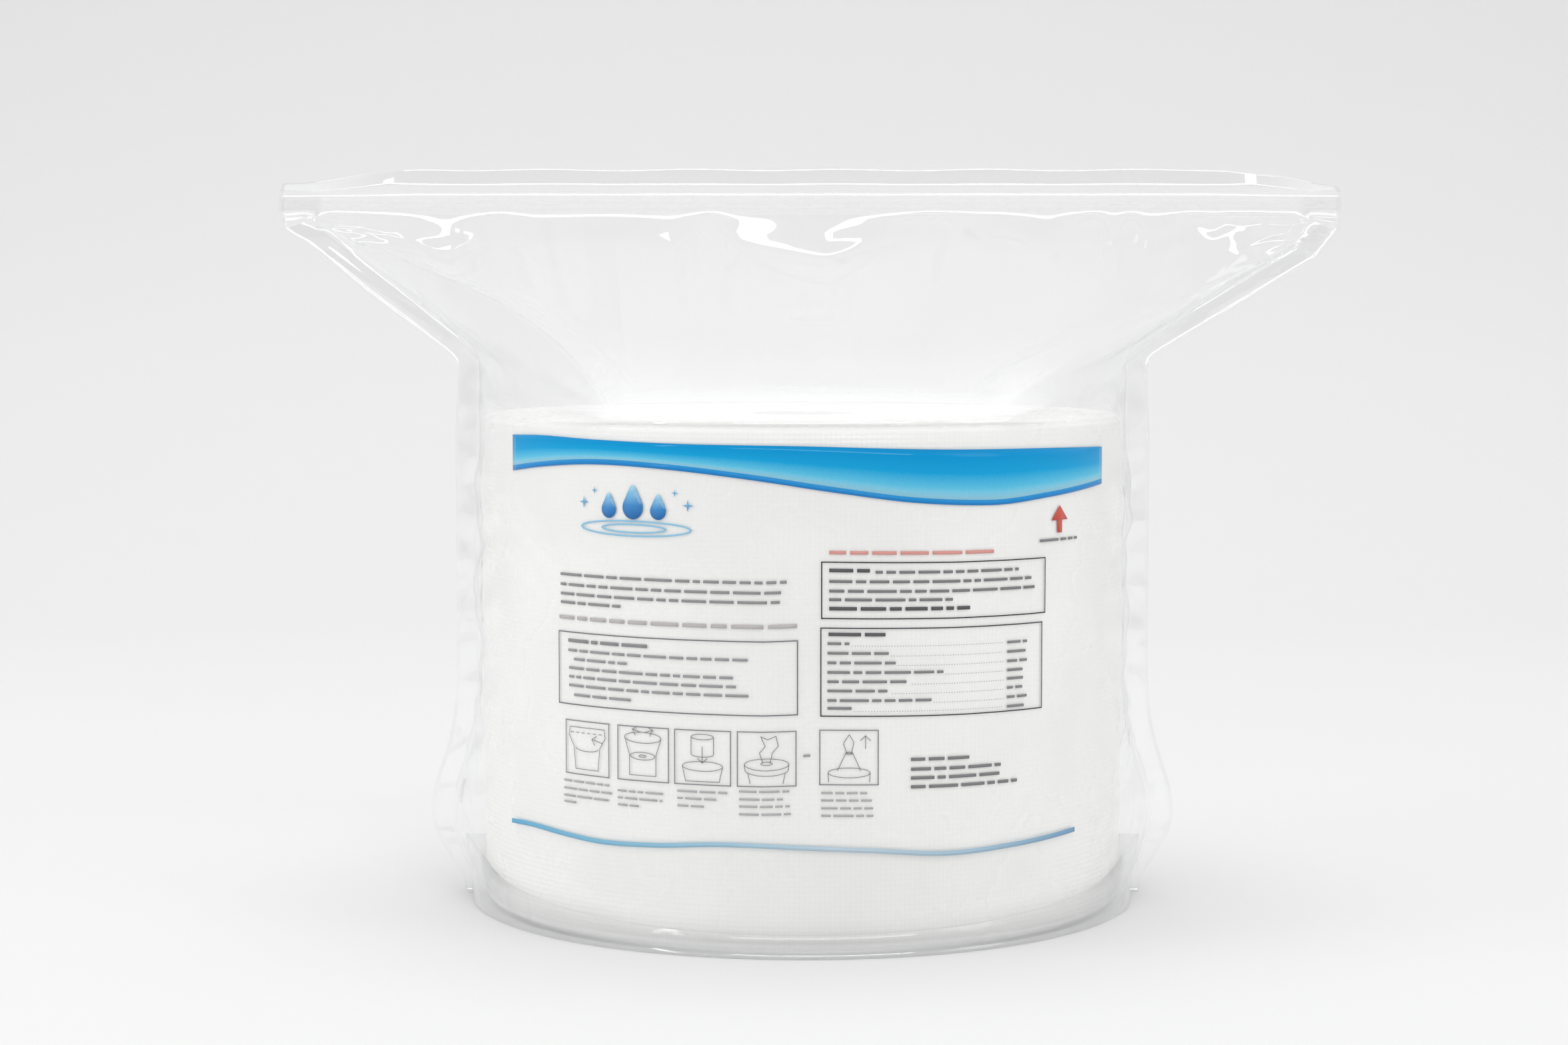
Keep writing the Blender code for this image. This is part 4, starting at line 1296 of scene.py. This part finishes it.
    def small_print(self, block: Block, draw: random.Random) -> PrintedField:
        """Draw a block of small print as rows of plain bars of random length."""
        field = PrintedField(block.name, self.panel)
        unit = block.cap * MM
        tall = 0.44 * unit * (0.6 + 0.4 * block.weight)
        for left, right, level in block.rows:
            along, end = left * MM, right * MM
            low = level * MM - tall / 2
            while along < end - 0.5 * unit:
                word_end = min(along + draw.uniform(1.1, 4.8) * unit, end)
                field.bar(along, word_end, low, low + tall)
                along = word_end + 0.55 * unit
        return field

    def build_small_print(self) -> None:
        """Print the text blocks as rows of plain bars, each block in one tone; the left blocks are
        given lighter greys than like blocks on the right, as painted glare.
        """
        draw = random.Random(31)
        blocks = (
            Block("upper_right_small_print", (
                (20.8, 68.6, 111.6), (7.2, 73.8, 108.8), (7.2, 76.8, 106.0), (7.2, 44.9, 103.5),
            ), 1.9, "7D7D7F"),
            Block("upper_right_bold_print", (
                (7.2, 19.3, 112.0), (7.2, 50.7, 100.9),
            ), 2.0, "58595B", 1.5),
            Block("red_note_print", ((7.2, 59.6, 117.2),), 2.1, "D89991", 1.25),
            Block("lower_right_heading_print", ((7.0, 23.8, 93.4),), 2.0, "5D5E60", 1.4),
            Block("lower_right_small_print", (
                (6.7, 13.1, 90.7), (6.7, 24.8, 87.9), (6.7, 26.9, 85.1), (6.7, 41.9, 82.3),
                (6.7, 31.2, 79.6), (6.7, 25.2, 76.9), (6.7, 38.1, 74.1), (6.7, 13.8, 71.8),
                (64.3, 72.1, 90.0), (64.3, 72.1, 87.2), (64.3, 72.1, 84.4), (64.3, 72.1, 81.7),
                (64.3, 72.1, 79.2), (64.3, 72.1, 76.5), (64.3, 72.1, 73.7), (64.3, 72.1, 70.9),
            ), 1.8, "868688"),
            # Painted glare: the blocks on the left are given lighter greys than the like blocks on
            # the right
            Block("left_small_print", (
                (-80.6, -5.1, 109.0), (-80.6, -6.2, 106.0),
                (-80.6, -7.1, 103.2), (-80.6, -55.3, 100.6),
            ), 1.9, "909192"),
            Block("pale_note_print", ((-81.3, -2.1, 96.1),), 2.4, "BBB6B6", 1.1),
            Block("left_heading_print", ((-77.4, -46.4, 89.3),), 2.0, "8D8D8F", 1.4),
            Block("left_list_print", (
                (-77.4, -16.5, 86.4), (-75.0, -54.8, 83.8), (-77.1, -20.9, 81.1),
                (-77.1, -20.0, 78.5), (-77.1, -16.3, 75.9), (-75.0, -52.3, 73.1),
            ), 1.8, "9A9B9D"),
            Block("address_print", (
                (31.7, 51.0, 56.7), (31.7, 62.0, 53.8), (31.7, 62.3, 51.2), (31.7, 68.3, 48.6),
            ), 2.0, "7F7F81", 1.2),
            Block("arrow_note_print", ((77.5, 95.9, 119.5),), 1.8, "838385", 1.1),
            Block("middle_word_print", ((-0.3, 2.6, 58.1),), 1.6, "A1A2A4"),
            Block("picture_notes_print", (
                (-79.5, -61.3, 47.1), (-79.5, -60.1, 44.8),
                (-79.5, -60.1, 42.6), (-79.5, -73.0, 40.7),
                (-58.1, -42.1, 46.0), (-58.1, -42.8, 43.9), (-58.1, -50.7, 41.8),
                (-38.0, -22.6, 47.3), (-38.0, -25.6, 45.2), (-38.0, -29.7, 43.0),
                (-19.1, -4.4, 47.9), (-19.1, -6.2, 45.6),
                (-19.1, -4.2, 43.5), (-19.1, -3.9, 41.2),
                (4.9, 18.4, 47.0), (4.9, 19.8, 44.8), (4.9, 20.5, 42.5), (4.9, 20.3, 40.3),
            ), 1.35, "B0B1B2"),
        )
        for block in blocks:
            slot = Slot.RED if "red" in block.name else Slot.GREY
            self.lay(self.small_print(block, draw), f"{block.name}_ink", block.tone, slot)

    def build_frames(self) -> None:
        """Print the frames round the text blocks and the dotted leaders."""
        for name, (left, right), (low, high), tone, width in (
            # Painted glare: the left frame is given a lighter grey than the frames on the right
            ("left_text_frame", (-81.5, -2.0), (70.2, 91.8), "6E6F74", 0.32),
            ("upper_text_frame", (5.0, 79.8), (98.0, 114.4), "2B2C30", 0.34),
            ("lower_text_frame", (4.8, 78.5), (69.5, 95.2), "3C3D41", 0.34),
        ):
            field = PrintedField(name, self.panel)
            corners = [(left, low), (right, low), (right, high), (left, high)]
            field.stroke([(a * MM, z * MM) for a, z in corners], width * MM, closed=True)
            self.lay(field, f"{name}_ink", tone, Slot.GREY, [f"{name}_print"])
        dots = PrintedField("dotted_leaders", self.panel)
        pitch = 0.85
        for start, level in (
            (13.8, 90.0), (25.5, 87.1), (27.6, 84.3), (42.6, 81.5), (31.9, 78.8), (25.9, 76.1),
            (38.8, 73.3), (14.5, 70.9),
        ):
            for i in range(int((63.5 - start) / pitch)):
                along = (start + pitch * i) * MM
                low, high = level * MM - 0.1 * MM, level * MM + 0.12 * MM
                dots.bar(along, along + 0.22 * MM, low, high)
        self.lay(dots, "dotted_leaders_ink", "8A8B8F", Slot.GREY)

    def build_pictures(self) -> None:
        """Print the five small line pictures, each in its frame."""
        wide, high = self.picture_size
        low = self.picture_low
        ink = Ink("picture_line_ink", ((0.0, "85868A"), (1.0, "85868A"))).material()
        for number, (left, lines) in enumerate(zip(self.picture_lefts, pictures()), start=1):
            field = PrintedField(f"picture_{number}", self.panel, 1.5 * MM)
            frame_line = [(0, 0), (1, 0), (1, 1), (0, 1)]
            for line, width in ((frame_line, 0.30 * MM), *((line, 0.20 * MM) for line in lines)):
                path = [(left + x * wide, low + z * high) for x, z in line]
                field.stroke(path, width, closed=line is frame_line)
            dress(field.build(self.lift), ink, [f"picture_frame_{number}_print"])

    def build_emblem(self) -> None:
        """Print a plain emblem: water drops over ripple rings, with sparkles."""
        drops = PrintedField("water_drops", self.panel)
        for along, z, size in ((-61.0, 129.2, 5.2), (-52.5, 130.0, 7.0), (-44.0, 129.2, 5.2)):
            turns = [2 * math.pi * i / 36 for i in range(36)]
            swells = [1 + 0.9 * max(0.0, math.sin(turn)) ** 5 for turn in turns]
            drops.blob(around((along, z), size, turns, [1.0] * 36, swells))
        tones = ((0.0, "2B6DB2"), (0.40, "4288C6"), (0.80, "86BFE0"), (1.0, "B9DFF0"))
        self.lay(drops, "drop_ink", tones, Slot.DEEP_BLUE)
        rings = PrintedField("ripple_rings", self.panel)
        for wide, tall in ((11.0, 1.2), (19.0, 2.2)):
            line = ellipse((-52.5 * MM, 123.8 * MM), (wide * MM, tall * MM))[:-1]
            rings.stroke(line, 0.5 * MM, closed=True)
        self.lay(rings, "ring_ink", ((0.0, "6FB2DA"), (1.0, "A6D2E8")), Slot.BLUE)
        sparkles = PrintedField("sparkles", self.panel)
        for along, z, size in (
            (-70.5, 131.0, 3.6), (-66.4, 134.6, 2.2), (-34.5, 131.0, 3.6), (-38.6, 134.6, 2.2),
        ):
            turns = [math.pi * i / 4 for i in range(8)]
            sparkles.blob(around((along, z), size, turns, [1.0, 0.26] * 4, [1.0] * 8))
        self.lay(sparkles, "sparkle_ink", ((0.0, "4C97CC"), (1.0, "86BFE0")), Slot.BLUE)


def around(
    centre: tuple[float, float], size: float, turns: Sequence[float], shares: Sequence[float],
    swells: Sequence[float],
) -> Line:
    """Give an outline round a centre in millimetres, by a share of the size at each turn."""
    along, z = (value * MM for value in centre)
    reaches = [size * MM / 2 * share for share in shares]
    return [
        (along + reach * math.cos(turn), z + reach * math.sin(turn) * swell)
        for turn, reach, swell in zip(turns, reaches, swells)
    ]


def ellipse(
    centre: tuple[float, float], reach: tuple[float, float], start: float = 0.0, end: float = 360.0
) -> Line:
    """Give points along an ellipse or a part of it, by degrees."""
    count = max(4, round(abs(end - start) / 15))
    angles = [math.radians(start + (end - start) * i / count) for i in range(count + 1)]
    (x, z), (wide, tall) = centre, reach
    return [(x + wide * math.cos(a), z + tall * math.sin(a)) for a in angles]


def arrow_lines(tip: tuple[float, float], tail: tuple[float, float]) -> list[Line]:
    """Give a small arrow as two lines."""
    (x, z), (p, q) = tip, tail
    length = math.hypot(x - p, z - q)
    a, b = (p - x) / length * 0.09, (q - z) / length * 0.09
    return [[tail, tip], [(x + a - b, z + b + a), tip, (x + a + b, z + b - a)]]


def pictures() -> tuple[list[Line], ...]:
    """Draw the five pictures as lines in a frame of size 1, in the order of their frames."""
    tear = [
        [(0.24, 0.10), (0.76, 0.10), (0.80, 0.52), (0.92, 0.72), (0.90, 0.88),
         (0.10, 0.88), (0.08, 0.72), (0.20, 0.52), (0.24, 0.10)],
        *([(0.12 + 0.13 * i, 0.78), (0.19 + 0.13 * i, 0.78)] for i in range(6)),
        ellipse((0.5, 0.50), (0.26, 0.06), 180, 360),
        *arrow_lines((0.62, 0.68), (0.86, 0.62)),
    ]
    held_open = [
        ellipse((0.5, 0.80), (0.36, 0.10)),
        [(0.14, 0.80), (0.24, 0.48), (0.24, 0.10), (0.76, 0.10), (0.76, 0.48), (0.86, 0.80)],
        ellipse((0.5, 0.46), (0.24, 0.07)),
        ellipse((0.5, 0.46), (0.07, 0.02)),
        *arrow_lines((0.30, 0.95), (0.46, 0.90)),
        *arrow_lines((0.70, 0.95), (0.54, 0.90)),
    ]
    roll_into_tub = [
        ellipse((0.5, 0.34), (0.36, 0.09)),
        [(0.14, 0.34), (0.20, 0.06), (0.80, 0.06), (0.86, 0.34)],
        ellipse((0.5, 0.88), (0.20, 0.05)),
        [(0.30, 0.88), (0.30, 0.56)], [(0.70, 0.88), (0.70, 0.56)],
        ellipse((0.5, 0.56), (0.20, 0.05), 180, 360),
        *arrow_lines((0.5, 0.40), (0.5, 0.70)),
    ]
    lid_with_wipe = [
        ellipse((0.5, 0.40), (0.38, 0.11)),
        ellipse((0.5, 0.42), (0.10, 0.03)),
        [(0.12, 0.40), (0.13, 0.30)], [(0.88, 0.40), (0.87, 0.30)],
        ellipse((0.5, 0.30), (0.37, 0.11), 180, 360),
        [(0.18, 0.25), (0.22, 0.05)], [(0.82, 0.25), (0.78, 0.05)],
        [(0.44, 0.43), (0.38, 0.62), (0.48, 0.74), (0.40, 0.92)],
        [(0.56, 0.43), (0.60, 0.62), (0.70, 0.74), (0.66, 0.92), (0.52, 0.86), (0.40, 0.92)],
    ]
    cone_with_wipe = [
        ellipse((0.5, 0.22), (0.36, 0.09)),
        [(0.14, 0.22), (0.15, 0.05)], [(0.86, 0.22), (0.85, 0.05)],
        [(0.30, 0.26), (0.44, 0.58), (0.56, 0.58), (0.70, 0.26)],
        ellipse((0.5, 0.58), (0.06, 0.02)),
        [(0.46, 0.58), (0.40, 0.76), (0.50, 0.92), (0.58, 0.78), (0.54, 0.58)],
        *arrow_lines((0.78, 0.90), (0.78, 0.66)),
    ]
    return tear, held_open, roll_into_tub, lid_with_wipe, cone_with_wipe


# The studio


@dataclass(frozen=True)
class Softbox:
    """A soft studio light: where it stands, where it points, its size and its brightness.

    A light that isn't mirrored is flagged off the glossy film, which then mirrors the room.
    A light that only glints draws highlights on the film and adds nothing to matt surfaces.
    """

    name: str
    place: tuple[float, float, float]
    target: tuple[float, float, float]
    size: tuple[float, float]
    radiance: float
    mirrored: bool = True
    glint_only: bool = False

    def build(self) -> None:
        """Add the light, with the power that its size and brightness need."""
        data = bpy.data.lights.new(self.name, "AREA")
        data.shape = "RECTANGLE"
        data.size, data.size_y = self.size
        data.energy = math.pi * self.size[0] * self.size[1] * self.radiance
        light = bpy.data.objects.new(self.name, data)
        light.location = self.place
        aim = Vector(self.target) - Vector(self.place)
        light.rotation_euler = aim.to_track_quat("-Z", "Y").to_euler()
        light.visible_glossy = self.mirrored
        light.visible_diffuse = not self.glint_only
        bpy.context.scene.collection.objects.link(light)


@dataclass
class Studio:
    """A pale sweep, soft lights from above and the sides, and the camera."""

    lens: float = 75.0
    sensor: float = 36.0
    distance: float = 1.044
    height: float = 0.198
    offset: float = -5.9 * MM
    pitch: float = math.radians(4.283)
    # The room's brightness from behind the camera round to the backdrop, and from overhead
    room: tuple[tuple[float, float], ...] = ((0.0, 0.47), (0.35, 0.63), (0.60, 0.78), (1.0, 0.82))
    ceiling: float = 0.26
    softboxes: tuple[Softbox, ...] = (
        Softbox("key_softbox", (0.25, -1.15, 1.45), (0, 0, 0.12), (0.6, 0.4), 4.0, mirrored=False),
        Softbox("low_fill", (0.0, -1.60, 0.28), (0, 0, 0.04), (1.6, 0.4), 0.78, mirrored=False),
        Softbox(
            "left_softbox", (-1.35, -0.35, 0.55), (0, 0, 0.12), (0.7, 0.9), 1.9, mirrored=False
        ),
        Softbox(
            "left_strip", (-1.05, -0.90, 0.75), (0, 0, 0.15), (0.10, 0.9), 8.0, glint_only=True
        ),
        Softbox("lip_strip", (0.20, -1.60, 0.95), (0, 0, 0.2), (2.0, 0.32), 8.0, glint_only=True),
        Softbox("right_softbox", (1.35, -0.70, 0.75), (0, 0, 0.12), (0.5, 0.9), 1.6),
        Softbox("top_softbox", (0.0, 0.15, 1.65), (0, 0.1, 0.1), (1.8, 1.3), 1.36, mirrored=False),
    )

    def build(self) -> None:
        """Set up the sweep, the lights, the room's light and the camera."""
        self.build_sweep()
        for softbox in self.softboxes:
            softbox.build()
        self.build_room()
        bpy.context.scene.view_settings.view_transform = "Standard"
        bpy.context.scene.cycles.transparent_max_bounces = 32
        data = bpy.data.cameras.new("camera")
        data.lens = self.lens
        data.sensor_width = self.sensor
        data.clip_start = 0.01
        camera = bpy.data.objects.new("camera", data)
        camera.location = (self.offset, -self.distance, self.height)
        camera.rotation_euler = (math.pi / 2 - self.pitch, 0.0, 0.0)
        bpy.context.scene.collection.objects.link(camera)
        bpy.context.scene.camera = camera

    def build_room(self) -> None:
        """Light the room: dim behind the camera, bright behind the pack and overhead."""
        world = bpy.data.worlds.new("studio_room")
        world.use_nodes = True
        graph = Graph(world.node_tree)
        axes = graph.node("SeparateXYZ", {0: graph.node("TexCoord").outputs["Generated"]}).outputs
        depth = graph.node("MapRange", {"From Min": -1.0, "Value": axes["Y"]}).outputs["Result"]
        tone = graph.node("ValToRGB", {"Fac": depth})
        stops = [(place, (value, value, value, 1.0)) for place, value in self.room]
        fill_ramp(tone.color_ramp, stops)
        sums = {0: axes["Z"], 1: self.ceiling, 2: tone.outputs["Color"]}
        overhead = graph.node("Math", sums, operation="MULTIPLY_ADD").outputs[0]
        background = graph.tree.nodes["Background"].inputs
        background["Color"].default_value = linear("FFFFFF")
        graph.tree.links.new(overhead, background["Strength"])
        bpy.context.scene.world = world

    def build_sweep(self) -> None:
        """Model the paper sweep: a floor that turns up into the backdrop."""
        deselect_all()
        bpy.ops.mesh.primitive_plane_add(size=6.0, location=(0, -1.2, 0))
        sweep = bpy.context.object
        sweep.name = "paper_sweep"
        bpy.ops.object.transform_apply(location=True, rotation=True, scale=True)
        back = max(v.co.y for v in sweep.data.vertices)
        bpy.ops.object.mode_set(mode="EDIT")
        select(sweep, "EDGE", lambda e: all(abs(v.co.y - back) < 1e-5 for v in e.verts))
        bpy.ops.mesh.extrude_region_move(TRANSFORM_OT_translate={"value": (0, 0, 1.2)})
        select(sweep, "EDGE", lambda e: all(
            abs(v.co.y - back) < 1e-5 and v.co.z < 0.01 for v in e.verts
        ))
        bpy.ops.mesh.bevel(offset=1.0, segments=24)
        bpy.ops.object.mode_set(mode="OBJECT")
        bpy.ops.object.shade_smooth_by_angle(angle=math.radians(40))
        sweep.data.materials.append(self.paper())

    @staticmethod
    def paper() -> bpy.types.Material:
        """Build the sweep's matt paper, with a trace of tooth, painted lighter toward the backdrop
        to make up for the light it lacks.
        """
        recipe = Recipe("matt_backdrop_paper")
        place = recipe.place()
        tooth = recipe.maths("MULTIPLY", recipe.noise(place, 1 / 900, 2.0), 0.05)
        # Painted light: the paper is coloured lighter toward the back, where the upturned backdrop
        # gets less light than the floor
        depth = recipe.node("SeparateXYZ", {"Vector": place}).outputs["Y"]
        fade = recipe.maths("MULTIPLY", recipe.maths("ADD", depth, tooth), 0.5)
        colour = recipe.ramp(fade, ((0.15, "DCDCDC"), (0.65, "E7E7E7")))
        body = recipe.body(Base_Color=colour, Roughness=0.85, Specular_IOR_Level=0.2)
        return recipe.finish(body)


# The whole pack


def build_pack() -> None:
    """Build the roll, the film, the zip and the print, in that order."""
    shape = PouchShape()
    film = ClearFilm().material()
    dress(WipesRoll(shape).build(), DampNonwoven().material(), ["wipes_roll"])
    front = FilmPanel(shape, Side.FRONT, creases=FRONT_CREASES)
    dress(front.build(), film, ["front_panel"])
    back = FilmPanel(shape, Side.BACK, seed=9)
    dress(back.build(), film, ["back_panel"])
    dress(FilmFloor(shape).build(), film, ["bottom_gusset"])
    zip_plastic = ZipPlastic().material()
    for name in ("zip_rib_strip", "zip_groove_strip"):
        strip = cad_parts[name]
        strip.data.materials.clear()
        strip.data.materials.append(zip_plastic)
        LOG.info("%s: dressed as it is", name)
    artwork = Artwork(front)
    artwork.build_band()
    artwork.build_arrow()
    artwork.build_small_print()
    artwork.build_frames()
    artwork.build_pictures()
    artwork.build_emblem()


def main() -> None:
    """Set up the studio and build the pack."""
    logging.basicConfig(level=logging.INFO, format="%(name)s %(message)s")
    Studio().build()
    build_pack()


if __name__ == "__main__":
    main()
